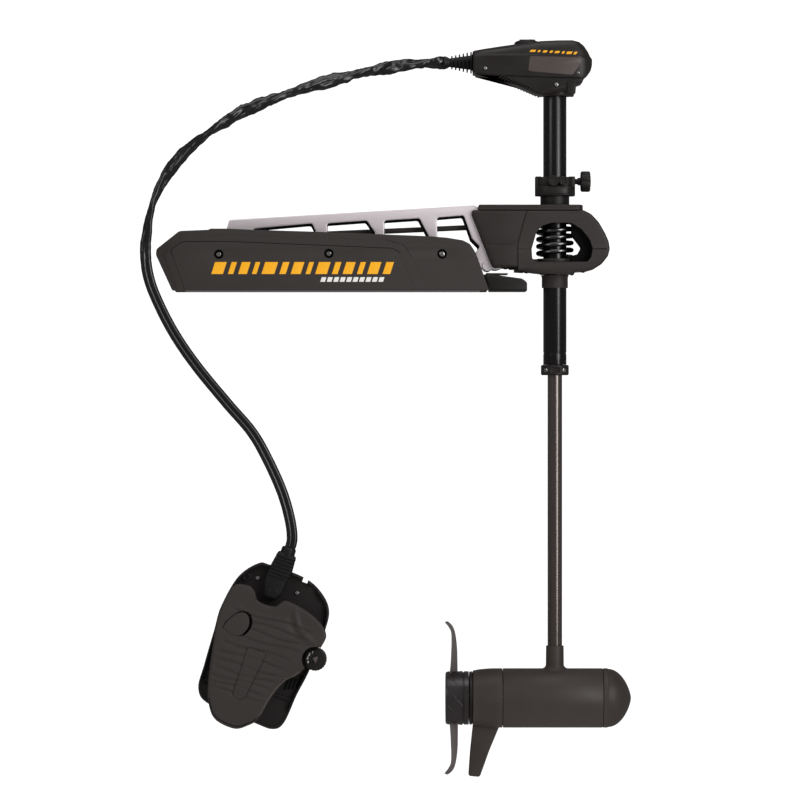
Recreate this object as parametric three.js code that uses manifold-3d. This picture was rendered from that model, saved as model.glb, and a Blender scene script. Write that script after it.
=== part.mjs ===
// Bow-mount, cable-steer electric trolling motor with a foot pedal, shown deployed.
// Millimetres. +Z is up, +X points to the bow, the origin is the middle of the deck mount's underside.

import * as THREE from 'three';
import { mergeVertices } from 'three/addons/utils/BufferGeometryUtils.js';
import Module from 'manifold-3d';

const wasm = await Module();
wasm.setup();

// ---- Driving dimensions -------------------------------------------------------------------------

const GAP = 0.3; // between pieces that touch

// Deck mount
const MOUNT_HALF_WIDTH = 65;
const SIDE_PLATE = 9;
const CHANNEL_WALL = 4;
const CHANNEL_FLOOR = 5;
const RAMP_TOP = 28;

// Stow linkage pivots, [x, z]
const ARM_PIVOT = [-160, 72];
const KNEE_PIVOT = [282, 54];
const LINK_PIVOT = [-186, 88];
const LINK_END = [262, 108];

// Steering axis and tubes
const SHAFT_X = 385;
const TUBE_R = 20;
const TUBE_BORE = 17;
const TUBE_BOTTOM = -126;
const TUBE_TOP = 352;
const SHAFT_R = 12.5;
const SHAFT_BORE = 10;
const SHAFT_BOTTOM = -618;
const SHAFT_TOP = 366;

// Bow guard
const GUARD_HINGE = [337, 39];
const GUARD_HALF_WIDTH = 42;
const CASTING_SPLIT = 72;
const PLATE_BOTTOM = 139;
const PLATE_TOP = 148;
const SPRING_R = 28.2; // wire centre
const SPRING_WIRE = 3.3;
const SPRING_BOTTOM = 56;
const SPRING_TURNS = 4.5;

// Depth collar
const COLLAR_BOTTOM = 164;
const COLLAR_TOP = 197;
const KNOB_Z = 189;

// Head
const HEAD_HALF_WIDTH = 42;
const HEAD_WALL = 6;
const CABLE_Z = 393.5;
const GEAR_PITCH_R = 12;
const GEAR_TEETH = 16;
const GEAR_Z = 394;
const IDLER_X = SHAFT_X - 2 * GEAR_PITCH_R;
const DIAL_X = SHAFT_X - 4 * GEAR_PITCH_R;

// Motor
const MOTOR_Z = -699;
const MOTOR_R = 51;
const MOTOR_WALL = 5;
const TAIL_X = 243;
const TAIL_SEAM_X = 295;
const NOSE_SEAM_X = 467;
const NOSE_TIP_X = 516;
const HUB_X = 198;
const HUB_END_X = 237;
const PROP_R = 132;

// Cable and pedal
const CABLE_R = 9.5;
const CABLE_Y = -100;
const PEDAL_AT = [-115.5, -120, -606.5];
const PEDAL_LEAN = 19; // degrees, toe towards the bow
const PEDAL_BASE_BOTTOM = -40; // below the rocker pin
const PEDAL_BASE_TOP = -34;

// ---- Materials ----------------------------------------------------------------------------------

const finish = (color, roughness, metalness) =>
  new THREE.MeshStandardMaterial({ color, roughness, metalness });

const MATERIAL = {
  moulding: finish(0x3c3835, 0.7, 0), // textured dark grey plastic
  blackPlastic: finish(0x1e1e20, 0.5, 0),
  castPaint: finish(0x32302f, 0.55, 0.2), // painted castings
  motorPaint: finish(0x322e2c, 0.4, 0.3),
  tubeBlack: finish(0x101012, 0.15, 0.3), // glossy composite
  armAlloy: finish(0xded2d5, 0.4, 0.8),
  steel: finish(0xb8b8bc, 0.3, 1),
  springSteel: finish(0x141416, 0.25, 0.6),
  brass: finish(0xb08d4a, 0.35, 1),
  copper: finish(0x9c5a36, 0.4, 1),
  magnet: finish(0x3a3a40, 0.6, 0.4),
  nylon: finish(0xe6e0d0, 0.5, 0),
  rubber: finish(0x161616, 0.8, 0),
  propPlastic: finish(0x1a171c, 0.2, 0),
  sheath: finish(0x17171a, 0.3, 0),
};

// ---- Shape helpers ------------------------------------------------------------------------------

const trollingMotor = new THREE.Group();

// A closed three.js geometry as a manifold solid.
function solid(geometry) {
  const bare = geometry.clone();
  for (const name of Object.keys(bare.attributes)) {
    if (name !== 'position') bare.deleteAttribute(name);
  }
  const merged = mergeVertices(bare, 1e-4);
  return new wasm.Manifold(
    new wasm.Mesh({
      numProp: 3,
      vertProperties: new Float32Array(merged.attributes.position.array),
      triVerts: new Uint32Array(merged.index.array),
    }),
  );
}

// A manifold solid as a three.js geometry.
function toGeometry(body) {
  const data = body.getMesh();
  const geometry = new THREE.BufferGeometry();
  geometry.setAttribute('position', new THREE.BufferAttribute(data.vertProperties, 3));
  geometry.setIndex(new THREE.BufferAttribute(data.triVerts, 1));
  geometry.computeVertexNormals();
  return geometry;
}

const join = (...bodies) => bodies.reduce((all, body) => all.add(body));
const cut = (body, ...tools) => tools.reduce((rest, tool) => rest.subtract(tool), body);

function add(name, shape, material, parent = trollingMotor) {
  const geometry = shape instanceof THREE.BufferGeometry ? shape : toGeometry(shape);
  const mesh = new THREE.Mesh(geometry, material);
  mesh.name = name;
  parent.add(mesh);
  return mesh;
}

function box([x0, y0, z0], [x1, y1, z1]) {
  const geometry = new THREE.BoxGeometry(x1 - x0, y1 - y0, z1 - z0);
  geometry.translate((x0 + x1) / 2, (y0 + y1) / 2, (z0 + z1) / 2);
  return solid(geometry);
}

// An outline in X and Z, [[x, z], ...], extruded from y0 to y1.
function slab(outline, y0, y1) {
  const shape = new THREE.Shape(outline.map(([x, z]) => new THREE.Vector2(x, z)));
  const geometry = new THREE.ExtrudeGeometry(shape, { depth: y1 - y0, bevelEnabled: false });
  geometry.rotateX(Math.PI / 2);
  geometry.translate(0, y1, 0);
  return solid(geometry);
}

// A profile [[r, along], ...] turned about three's own Y axis, in the order that faces outwards.
function lathe(profile, segments) {
  const points = profile.map(([r, along]) => new THREE.Vector2(r, along));
  if (THREE.ShapeUtils.area(points) < 0) points.reverse();
  return new THREE.LatheGeometry(points, segments);
}

// A closed profile [[r, z], ...] turned about the vertical line through (x, y).
function turned(profile, x = 0, segments = 24, y = 0) {
  const geometry = lathe(profile, segments);
  geometry.rotateX(Math.PI / 2);
  geometry.translate(x, y, 0);
  return solid(geometry);
}

// A closed profile [[r, x], ...] turned about the line along X at height z.
function turnedAlongX(profile, z, segments = 24) {
  const geometry = lathe(profile, segments);
  geometry.rotateZ(-Math.PI / 2);
  geometry.translate(0, 0, z);
  return solid(geometry);
}

// Profile of a ring, or of a disc when the inner radius is 0.
function ring(outer, inner, from, to) {
  const corners = [[inner, from], [outer, from], [outer, to], [inner, to]];
  return inner > 0 ? [...corners, corners[0]] : corners;
}

// A round bar along Y through (x, z).
function crossBar([x, z], radius, y0, y1, segments = 20) {
  const geometry = new THREE.CylinderGeometry(radius, radius, y1 - y0, segments);
  geometry.translate(x, (y0 + y1) / 2, z);
  return solid(geometry);
}

// A closed skin through rings of points that all have the same count.
function loft(rings) {
  const count = rings[0].length;
  const last = (rings.length - 1) * count;
  const faces = [];
  for (let i = 0; i + 1 < rings.length; i += 1) {
    for (let j = 0; j < count; j += 1) {
      const a = i * count + j;
      const b = i * count + ((j + 1) % count);
      faces.push(a, b, b + count, a, b + count, a + count);
    }
  }
  for (let j = 1; j + 1 < count; j += 1) {
    faces.push(0, j + 1, j);
    faces.push(last, last + j, last + j + 1);
  }
  const geometry = new THREE.BufferGeometry();
  geometry.setAttribute('position', new THREE.Float32BufferAttribute(rings.flat(2), 3));
  geometry.setIndex(faces);
  return solid(geometry);
}

// Points of a smooth closed outline through the given ones.
function smooth(outline, divisions, tension = 0.5) {
  const points = outline.map(([x, y]) => new THREE.Vector3(x, y, 0));
  const curve = new THREE.CatmullRomCurve3(points, true, 'catmullrom', tension);
  return curve.getPoints(divisions).slice(0, -1).map((p) => [p.x, p.y]);
}

function polar([cx, cy], radius, degrees) {
  const angle = THREE.MathUtils.degToRad(degrees);
  return [cx + radius * Math.cos(angle), cy + radius * Math.sin(angle)];
}

// Points on an arc about a centre, degrees.
function arc(centre, radius, from, to, steps) {
  const at = (i) => polar(centre, radius, from + ((to - from) * i) / steps);
  return Array.from({ length: steps + 1 }, (_, i) => at(i));
}

// ---- Deck mount ---------------------------------------------------------------------------------

const SIDE_OUTLINE = [
  [-270, 0], [-298, 61], [-297, 71], [-258, 102], [-208, 104], [-205, 106], [-178, 106],
  [-132, 104], [-20, 100.5], [168, 93], [199, 90.5], [226, 86], [238, 80], [246, 68], [252, 54],
  [271, 0],
];

function buildMount() {
  const inner = MOUNT_HALF_WIDTH - SIDE_PLATE - GAP;
  const wallOutline = [
    [-250, 0], [-262, 50], [-240, 90], [-150, 94], [150, 84], [222, 76], [244, 50], [256, 0],
  ];
  const floor = box([-250, -inner, 0], [256, inner, CHANNEL_FLOOR]);
  const walls = [-1, 1].map((side) => {
    const edges = [side * (inner - CHANNEL_WALL), side * inner].sort((a, b) => a - b);
    return slab(wallOutline, ...edges);
  });
  const posts = [-1, 1].map((side) => {
    const edges = [side * 10, side * 16].sort((a, b) => a - b);
    const top = arc(LINK_PIVOT, 9, 0, 180, 6);
    const foot = [[LINK_PIVOT[0] - 16, 0], [LINK_PIVOT[0] + 9, 0]];
    return slab([...foot, ...top], ...edges);
  });
  const pinHole = crossBar(ARM_PIVOT, 7.4, -inner - 1, inner + 1);
  const linkHole = crossBar(LINK_PIVOT, 4.8, -17, 17, 12);
  add('mount_base', cut(join(floor, ...walls, ...posts), pinHole, linkHole), MATERIAL.armAlloy);

  for (const [side, name] of [[-1, 'side_plate_near'], [1, 'side_plate_far']]) {
    const edges = [side * (MOUNT_HALF_WIDTH - SIDE_PLATE), side * MOUNT_HALF_WIDTH];
    add(name, slab(SIDE_OUTLINE, ...edges.sort((a, b) => a - b)), MATERIAL.moulding);
  }

  const wedge = [
    [272, 0], [263, RAMP_TOP], [330, RAMP_TOP - 9], [336, RAMP_TOP - 14], [336, 0],
  ];
  const rampHalf = MOUNT_HALF_WIDTH - SIDE_PLATE - GAP;
  add('motor_ramp', slab(wedge, -rampHalf, rampHalf), MATERIAL.blackPlastic);
  add('rest_bar', box([266, -26, RAMP_TOP + GAP], [304, 26, RAMP_TOP + 3.5]), MATERIAL.steel);
  add('arm_pivot_pin', crossBar(ARM_PIVOT, 7, -inner, inner, 16), MATERIAL.steel);
  add('link_pivot_pin', crossBar(LINK_PIVOT, 4.4, -18, 18, 12), MATERIAL.steel);
}

// ---- Lift arm and support link ------------------------------------------------------------------

const ARM_INSIDE = 24;
const ARM_OUTSIDE = 32;

function buildArm() {
  const outline = [
    ...arc(ARM_PIVOT, 20, 150, 262, 6),
    [-100, 56], [150, 40],
    ...arc(KNEE_PIVOT, 18, 235, 372, 8),
    [258, 100], [252, 144], [246, 147], [-174, 122], [-178, 108],
  ];
  const windows = [
    [[-136, 72], [-132, 107], [-32, 116], [-26, 103], [-30, 66]],
    [[-6, 66], [-6, 116], [62, 121], [76, 100], [72, 62]],
    [[92, 60], [92, 121], [152, 125], [168, 94], [162, 54]],
    [[184, 54], [182, 126], [228, 130], [242, 90], [256, 76], [240, 56]],
  ];
  const tool = windows.map((hole) => slab(hole, -ARM_OUTSIDE - 1, ARM_OUTSIDE + 1));
  for (const [side, name] of [[-1, 'lift_arm_near'], [1, 'lift_arm_far']]) {
    const edges = [side * ARM_INSIDE, side * ARM_OUTSIDE].sort((a, b) => a - b);
    const holes = [crossBar(ARM_PIVOT, 7.4, ...edges, 20), crossBar(KNEE_PIVOT, 6.4, ...edges, 20)];
    add(name, cut(slab(outline, ...edges), ...tool, ...holes), MATERIAL.armAlloy);
  }
  const tieHalf = ARM_INSIDE - GAP;
  for (const [name, at] of [['arm_tie_rear', [-84, 61.5]], ['arm_tie_front', [120, 51]]]) {
    add(name, crossBar(at, 5, -tieHalf, tieHalf, 14), MATERIAL.armAlloy);
  }
  add('knee_pin', crossBar(KNEE_PIVOT, 6, -GUARD_HALF_WIDTH, GUARD_HALF_WIDTH, 16), MATERIAL.steel);
}

function buildLink() {
  const slope = Math.atan2(LINK_END[1] - LINK_PIVOT[1], LINK_END[0] - LINK_PIVOT[0]);
  const tilt = THREE.MathUtils.radToDeg(slope);
  const bar = [
    ...arc(LINK_PIVOT, 7.5, tilt + 90, tilt + 270, 8),
    ...arc(LINK_END, 7.5, tilt - 90, tilt + 90, 8),
  ];
  const pivotHole = crossBar(LINK_PIVOT, 4.8, -8, 8, 12);
  const endPin = crossBar(LINK_END, 5, -20, 20, 14);
  add('support_link', join(cut(slab(bar, -6, 6), pivotHole), endPin), MATERIAL.castPaint);
}

// ---- Bow bracket, spring and guard --------------------------------------------------------------

function buildBracket() {
  const wide = GUARD_HALF_WIDTH;
  const outline = [
    [240, 132], [277, 39], [318, 42], [320, 80], [335, PLATE_BOTTOM - GAP],
    [243, PLATE_BOTTOM - GAP],
  ];
  const knuckle = [-1, 1].map((side) => {
    const edges = [side * 15.5, side * 26.5].sort((a, b) => a - b);
    const arms = slab([[316, 33], [337, 32], [337, 46], [316, 46]], ...edges);
    return join(crossBar(GUARD_HINGE, 7.5, ...edges, 16), arms);
  });
  const hollow = slab(
    [[200, 10], [302, 10], [306, 60], [306, 128], [258, 128], [258, 150], [200, 150]], -34, 34,
  );
  const body = join(cut(slab(outline, -wide, wide), hollow), ...knuckle);
  const kneeHole = crossBar(KNEE_PIVOT, 6.4, -wide - 1, wide + 1);
  const hingeHole = crossBar(GUARD_HINGE, 3.8, -wide, wide, 12);
  add('bow_bracket', cut(body, kneeHole, hingeHole), MATERIAL.castPaint);
  add('guard_hinge_pin', crossBar(GUARD_HINGE, 3.4, -wide + 1, wide - 1, 12), MATERIAL.steel);

  const seat = turned(ring(31.6, 27.6, 50.5, 55.4), SHAFT_X, 28);
  const tongue = box([320, -13, 50.5], [359, 13, 55.4]);
  const tongueRoom = turned(ring(27.6, 0, 49, 57), SHAFT_X, 28);
  add('spring_seat', join(cut(tongue, tongueRoom), seat), MATERIAL.castPaint);
}

class Helix extends THREE.Curve {
  getPoint(t, target = new THREE.Vector3()) {
    const angle = 2 * Math.PI * SPRING_TURNS * t;
    const bottom = SPRING_BOTTOM + SPRING_WIRE;
    const top = PLATE_BOTTOM - 22 - SPRING_WIRE;
    const x = SHAFT_X + SPRING_R * Math.cos(angle);
    return target.set(x, SPRING_R * Math.sin(angle), bottom + (top - bottom) * t);
  }
}

function disc(radius, sides) {
  const points = arc([0, 0], radius, 0, 360 - 360 / sides, sides - 1);
  return new THREE.Shape(points.map(([x, y]) => new THREE.Vector2(x, y)));
}

function buildSpring() {
  const steps = Math.round(SPRING_TURNS * 14);
  const options = { steps, extrudePath: new Helix(), bevelEnabled: false };
  const wire = new THREE.ExtrudeGeometry(disc(SPRING_WIRE, 6), options);
  add('breakaway_spring', solid(wire), MATERIAL.springSteel);
}

function buildGuard() {
  const wide = GUARD_HALF_WIDTH;
  const tubeRoom = turned(ring(TUBE_R + 0.4, 0, -20, 220), SHAFT_X, 32);
  const window = [
    [344, CASTING_SPLIT], [352, 100], [362, 112], [378, 117], [412, 117], [430, 106],
    [444, 88], [449, CASTING_SPLIT], [446, 58], [440, 50], [350, 50], [345, 56],
  ];
  const springRoom = turned(ring(35, 0, 50, 121), SHAFT_X, 28);
  const windowCut = join(slab(window, -wide - 1, wide + 1), springRoom);
  const upper = [
    [322, CASTING_SPLIT + GAP], [478, CASTING_SPLIT + GAP], [476, 84], [470, 99], [457, 121],
    [445, 133], [433, PLATE_BOTTOM - GAP], [338.5, PLATE_BOTTOM - GAP], [322.5, 82],
  ];
  add('guard_upper_casting', cut(slab(upper, -wide, wide), windowCut, tubeRoom), MATERIAL.castPaint);

  const lower = [
    [322, CASTING_SPLIT - GAP], [321, 46], [330, 34], [345, 33], [362, 30], [407, 28], [422, 34],
    [437, 34], [451, 38], [464, 46], [475, 61], [478, CASTING_SPLIT - GAP],
  ];
  const knuckleRoom = [-1, 1].map((side) => {
    const edges = [side * 14.8, side * 27.2].sort((a, b) => a - b);
    const around = crossBar(GUARD_HINGE, 8.6, ...edges, 20);
    return join(around, slab([[310, 20], [337, 20], [337, 50], [310, 50]], ...edges));
  });
  const tongueSlot = box([310, -14.5, 44], [353, 14.5, 80]);
  const pinHole = crossBar(GUARD_HINGE, 3.9, -wide - 1, wide + 1, 12);
  const body = slab(lower, -wide, wide);
  const tools = [windowCut, tubeRoom, ...knuckleRoom, tongueSlot, pinHole];
  add('guard_lower_casting', cut(body, ...tools), MATERIAL.castPaint);

  const plate = box([253, -wide, PLATE_BOTTOM], [432, wide, PLATE_TOP]);
  add('guard_top_plate', cut(plate, tubeRoom), MATERIAL.castPaint);
  const sleeve = ring(22.5, TUBE_R + 0.4, 6, 27.6);
  add('lower_sleeve', turned(sleeve, SHAFT_X, 28), MATERIAL.castPaint);

  const clamp = smooth(
    [[351, 0], [355, -24], [370, -34], [400, -34], [415, -24], [419, 0], [412, 26], [358, 26]], 32,
  );
  const shape = new THREE.Shape(clamp.map(([x, y]) => new THREE.Vector2(x, y)));
  const height = COLLAR_TOP - COLLAR_BOTTOM;
  const block = new THREE.ExtrudeGeometry(shape, { depth: height, bevelEnabled: false });
  block.translate(0, 0, COLLAR_BOTTOM);
  const foot = turned(ring(25, 0, PLATE_TOP + GAP, COLLAR_BOTTOM + 1), SHAFT_X, 28);
  const screwHole = turnedAlongX(ring(4.4, 0, SHAFT_X + 10, 440), KNOB_Z, 12);
  add('depth_collar', cut(join(solid(block), foot), tubeRoom, screwHole), MATERIAL.castPaint);

  const screw = [[0, 407], [4, 407], [4, 430], [15, 430], [18, 433], [18, 444], [15, 447], [0, 447]];
  add('depth_knob', turnedAlongX(screw, KNOB_Z, 20), MATERIAL.blackPlastic);
}

// ---- Tube and head ------------------------------------------------------------------------------

function gear(toothAt, bore) {
  const tip = GEAR_PITCH_R + 0.9;
  const root = GEAR_PITCH_R - 1.5;
  const pitch = 360 / GEAR_TEETH;
  const outline = [];
  for (let i = 0; i < GEAR_TEETH; i += 1) {
    const middle = toothAt + i * pitch;
    const corners = [[root, -4.6], [tip, -1.9], [tip, 1.9], [root, 4.6]];
    for (const [radius, offset] of corners) {
      outline.push(polar([0, 0], radius, middle + offset));
    }
  }
  const shape = new THREE.Shape(outline.map(([x, y]) => new THREE.Vector2(x, y)));
  const hole = new THREE.Path(arc([0, 0], bore, 0, 330, 11).map(([x, y]) => new THREE.Vector2(x, y)));
  shape.holes.push(hole);
  const geometry = new THREE.ExtrudeGeometry(shape, { depth: 6, bevelEnabled: false });
  geometry.translate(0, 0, GEAR_Z);
  return geometry;
}

function addGear(name, x, toothAt, bore) {
  const geometry = gear(toothAt, bore);
  geometry.translate(x, 0, 0);
  add(name, solid(geometry), MATERIAL.nylon);
}

function buildTube() {
  add('outer_tube', turned(ring(TUBE_R, TUBE_BORE, TUBE_BOTTOM, TUBE_TOP), SHAFT_X, 32),
    MATERIAL.tubeBlack);
  const clampRing = turned(ring(24, SHAFT_R + 0.6, -144, TUBE_BOTTOM - GAP), SHAFT_X, 28);
  add('tube_clamp', clampRing, MATERIAL.blackPlastic);
  const bushing = (z0, z1) => turned(ring(TUBE_BORE - GAP, SHAFT_R + GAP, z0, z1), SHAFT_X, 24);
  add('upper_bushing', bushing(315, 335), MATERIAL.nylon);
  add('lower_bushing', bushing(TUBE_BOTTOM, TUBE_BOTTOM + 25), MATERIAL.nylon);
}

function buildHead() {
  const wide = HEAD_HALF_WIDTH;
  const seam = [[244, 377], [335, 371], [437, 368]];
  const lowerOutline = [
    ...seam, [431, 357], [420, 354], [418, 338], [362, 338], [350, 341], [282, 369], [250, 374],
  ];
  const tubeSocket = turned(ring(TUBE_R + GAP, 0, 330, TUBE_TOP + GAP), SHAFT_X, 32);
  const shaftRoom = turned(ring(SHAFT_R + 0.8, 0, 330, 380), SHAFT_X, 24);
  const idlerPost = turned(ring(3.2, 0, 360, 404), IDLER_X, 12);
  const lower = join(cut(slab(lowerOutline, -wide + 6, wide - 6), tubeSocket, shaftRoom), idlerPost);
  add('head_housing', lower, MATERIAL.moulding);

  const coverOutline = [
    [244, 413], [244, 377 + GAP], [335, 371 + GAP], [437, 368 + GAP], [444, 382], [449, 398],
    [443, 412], [433, 425], [419, 431], [361, 430], [316, 424],
  ];
  const room = box([300, -wide + HEAD_WALL, 360], [428, wide - HEAD_WALL, 416]);
  const cableHole = turnedAlongX(ring(11, 0, 230, 310), CABLE_Z, 20);
  const dialSeat = turned(ring(22.6, 0, 423.7, 440), DIAL_X, 28);
  const dialHole = turned(ring(4.6, 0, 400, 440), DIAL_X, 12);
  const cover = cut(slab(coverOutline, -wide, wide), room, cableHole, dialSeat, dialHole);
  add('head_cover', cover, MATERIAL.moulding);

  const boot = [
    [6, 201], [10.3, 201], [12.5, 219], [15, 221], [15, 223], [13, 225], [17, 227], [17, 229],
    [14, 231], [19, 233.5], [19, 236], [15.5, 238], [20, 240.5], [20, 243.7], [6, 243.7], [6, 201],
  ];
  add('cable_boot', turnedAlongX(boot, CABLE_Z, 20), MATERIAL.rubber);

  addGear('idler_gear', IDLER_X, 360 / GEAR_TEETH / 2, 3.6);
  addGear('indicator_gear', DIAL_X, 0, 4.4);
  const dial = turned(
    [[0, 392], [4, 392], [4, 424], [21, 424], [22, 425.5], [20, 430], [12, 432.5], [0, 433]],
    DIAL_X,
  );
  add('direction_indicator', dial, MATERIAL.blackPlastic);
}

// ---- Inner shaft, motor and propeller -----------------------------------------------------------

function buildShaft() {
  add('inner_shaft', turned(ring(SHAFT_R, SHAFT_BORE, SHAFT_BOTTOM, SHAFT_TOP), SHAFT_X),
    MATERIAL.tubeBlack);
  const drum = [
    [0, 345], [SHAFT_BORE - GAP, 345], [SHAFT_BORE - GAP, 372], [19, 372], [19, 375], [16, 378],
    [16, 384], [19, 387], [19, 390], [6, 390], [6, 404], [0, 404],
  ];
  add('steering_drum', turned(drum, SHAFT_X), MATERIAL.blackPlastic);
  addGear('drum_gear', SHAFT_X, 180, 6.3);

  const saddle = [
    [0, SHAFT_BOTTOM - 8], [SHAFT_BORE - GAP, SHAFT_BOTTOM - 8], [SHAFT_BORE - GAP, -560],
    [0, -560],
  ];
  const collar = [
    [0, -610], [15, -612], [15.3, -640], [19, -649], [24, -654], [24, -690], [0, -690],
  ];
  const barrel = turnedAlongX(ring(MOTOR_R + GAP, 0, 200, 520), MOTOR_Z, 40);
  const shaftEnd = turned(ring(SHAFT_R + GAP, SHAFT_BORE - 0.05, SHAFT_BOTTOM - GAP, -600), SHAFT_X);
  const body = cut(join(turned(collar, SHAFT_X), turned(saddle, SHAFT_X)), barrel, shaftEnd);
  add('shaft_saddle', body, MATERIAL.motorPaint);
}

function buildMotor() {
  const inner = MOTOR_R - MOTOR_WALL;
  const housing = turnedAlongX(
    ring(MOTOR_R, inner, TAIL_SEAM_X + GAP, NOSE_SEAM_X - GAP), MOTOR_Z, 40,
  );
  add('motor_housing', housing, MATERIAL.motorPaint);

  const tail = turnedAlongX(
    [[11.5, TAIL_X], [47, TAIL_X], [49.5, TAIL_X + 14], [MOTOR_R, TAIL_X + 32],
      [MOTOR_R, TAIL_SEAM_X], [inner - 6, TAIL_SEAM_X], [inner - 8, TAIL_X + 30], [11.5, TAIL_X + 30],
      [11.5, TAIL_X]],
    MOTOR_Z, 40,
  );
  add('tail_housing', tail, MATERIAL.motorPaint);

  const quarter = 8;
  const noseLength = NOSE_TIP_X - NOSE_SEAM_X - 9;
  const nose = [[0, NOSE_SEAM_X], [MOTOR_R, NOSE_SEAM_X], [MOTOR_R, NOSE_SEAM_X + 9]];
  for (let i = 1; i <= quarter; i += 1) {
    const angle = (Math.PI / 2) * (i / quarter);
    const radius = i === quarter ? 0 : (MOTOR_R - 1) * Math.cos(angle);
    nose.push([radius, NOSE_SEAM_X + 9 + noseLength * Math.sin(angle)]);
  }
  const bearingRoom = turnedAlongX(ring(14, 0, NOSE_SEAM_X - 1, NOSE_SEAM_X + 14), MOTOR_Z);
  add('nose_cone', cut(turnedAlongX(nose, MOTOR_Z, 40), bearingRoom), MATERIAL.motorPaint);

  const skegTop = MOTOR_Z - MOTOR_R - GAP - 0.1;
  const skeg = [
    [TAIL_X + 1, skegTop - 2], [TAIL_X + 34, skegTop], [290, skegTop], [272, -790], [256, -835],
    [236, -833], [239, -790],
  ];
  add('skeg', slab(skeg, -3, 3), MATERIAL.motorPaint);

  for (const [side, name] of [[-1, 'magnet_near'], [1, 'magnet_far']]) {
    const start = side < 0 ? 200 : 20;
    const outer = arc([0, MOTOR_Z], inner - GAP, start, start + 140, 14);
    const back = arc([0, MOTOR_Z], inner - 8, start + 140, start, 14);
    const shape = new THREE.Shape([...outer, ...back].map(([y, z]) => new THREE.Vector2(y, z)));
    const geometry = new THREE.ExtrudeGeometry(shape, { depth: 90, bevelEnabled: false });
    geometry.applyMatrix4(new THREE.Matrix4().set(0, 0, 1, 330, 1, 0, 0, 0, 0, 1, 0, 0, 0, 0, 0, 1));
    add(name, solid(geometry), MATERIAL.magnet);
  }
  const bearing = (x0, x1) => turnedAlongX(ring(13.6, 5.4, x0, x1), MOTOR_Z, 20);
  add('front_bearing', bearing(NOSE_SEAM_X + 2, NOSE_SEAM_X + 12), MATERIAL.steel);
  const rearBearing = turnedAlongX(ring(11.2, 5.4, TAIL_X + 14, TAIL_X + 26), MOTOR_Z, 20);
  add('rear_bearing', rearBearing, MATERIAL.steel);
  add('shaft_seal', turnedAlongX(ring(11.2, 5.5, TAIL_X + 2, TAIL_X + 10), MOTOR_Z, 20),
    MATERIAL.rubber);
  add('brush_plate', turnedAlongX(ring(inner - GAP, 17, 440, 446), MOTOR_Z), MATERIAL.blackPlastic);
}

// One propeller blade: rings across the chord, from root to tip.
function blade(side) {
  const stations = [ // radius, chord, thickness, pitch in degrees, rake
    [33, 33, 6, 24, 0.37], [58, 58, 5, 16, -1], [84, 74, 4.5, 12, -2], [108, 70, 4, 9, -4],
    [124, 50, 3.5, 7, -6], [PROP_R, 18, 2.5, 6, -8],
  ];
  return loft(stations.map(([radius, chord, thick, pitch, rake]) => {
    const angle = THREE.MathUtils.degToRad(pitch);
    const section = [
      [-chord / 2, 0], [-chord / 7, -thick / 2], [chord / 3, -thick / 2], [chord / 2, 0],
      [chord / 3, thick / 2], [-chord / 7, thick / 2],
    ];
    return section.map(([along, across]) => {
      const x = 212 + rake + along * Math.sin(angle) + across * Math.cos(angle);
      const y = side * (along * Math.cos(angle) - across * Math.sin(angle));
      return [x, y, MOTOR_Z + side * radius];
    });
  }));
}

function buildRotor() {
  const shaft = turnedAlongX([[0, 190], [5, 190], [5, 476], [0, 476]], MOTOR_Z, 16);
  add('armature_shaft', shaft, MATERIAL.steel);
  add('armature_core', turnedAlongX(ring(34, 5.3, 335, 415), MOTOR_Z), MATERIAL.copper);
  add('commutator', turnedAlongX(ring(15, 5.3, 418, 452), MOTOR_Z, 20), MATERIAL.brass);

  const hub = turnedAlongX(
    [[5.4, HUB_X + 4], [38, HUB_X + 4], [41, HUB_X + 7], [45.5, HUB_END_X], [5.4, HUB_END_X],
      [5.4, HUB_X + 4]],
    MOTOR_Z, 30,
  );
  const body = join(hub, blade(1), blade(-1));
  add('propeller', body, MATERIAL.propPlastic);
  add('prop_nut', turnedAlongX(ring(9, 6.2, HUB_X - 6, HUB_X + 3.5), MOTOR_Z, 6), MATERIAL.steel);
}

// ---- Steering cable and pedal -------------------------------------------------------------------

const CABLE_ROUTE = [
  [200.3, 0, CABLE_Z], [170, -1, 392.9], [124, -12, 388.1], [75.2, -28, 379], [20.6, -45, 364.9],
  [-38.8, -62, 346.8], [-95, -75, 327.1], [-155, -87, 300.6], [-203.1, -95, 269.5],
  [-245.4, -99, 235.7], [-278, CABLE_Y, 195.2], [-300.7, CABLE_Y, 147.8],
  [-310.6, CABLE_Y, 101.4], [-313.5, CABLE_Y, 58.9], [-307.6, CABLE_Y, 19.4],
  [-290.8, CABLE_Y, -24.1], [-263.2, CABLE_Y, -76.4], [-225.6, CABLE_Y, -130.7],
  [-174.3, CABLE_Y, -192.9], [-132.8, CABLE_Y, -241.3], [-105.2, CABLE_Y, -289.7],
  [-81.5, CABLE_Y, -343], [-68.1, CABLE_Y, -390.4], [-64.7, CABLE_Y, -424.5],
  [-71.9, CABLE_Y, -446.1],
];

function buildCable() {
  const route = new THREE.CatmullRomCurve3(CABLE_ROUTE.map((p) => new THREE.Vector3(...p)));
  const options = { steps: 48, extrudePath: route, bevelEnabled: false };
  const cable = new THREE.ExtrudeGeometry(disc(CABLE_R, 8), options);
  add('steering_cable', solid(cable), MATERIAL.sheath);
}

// The pedal is built flat: x across, y towards the toe, z out of the tread, the rocker pin at 0.
function flatSlab(outline, z0, z1) {
  const shape = new THREE.Shape(outline.map(([x, y]) => new THREE.Vector2(x, y)));
  const geometry = new THREE.ExtrudeGeometry(shape, { depth: z1 - z0, bevelEnabled: false });
  geometry.translate(0, 0, z0);
  return solid(geometry);
}

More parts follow.
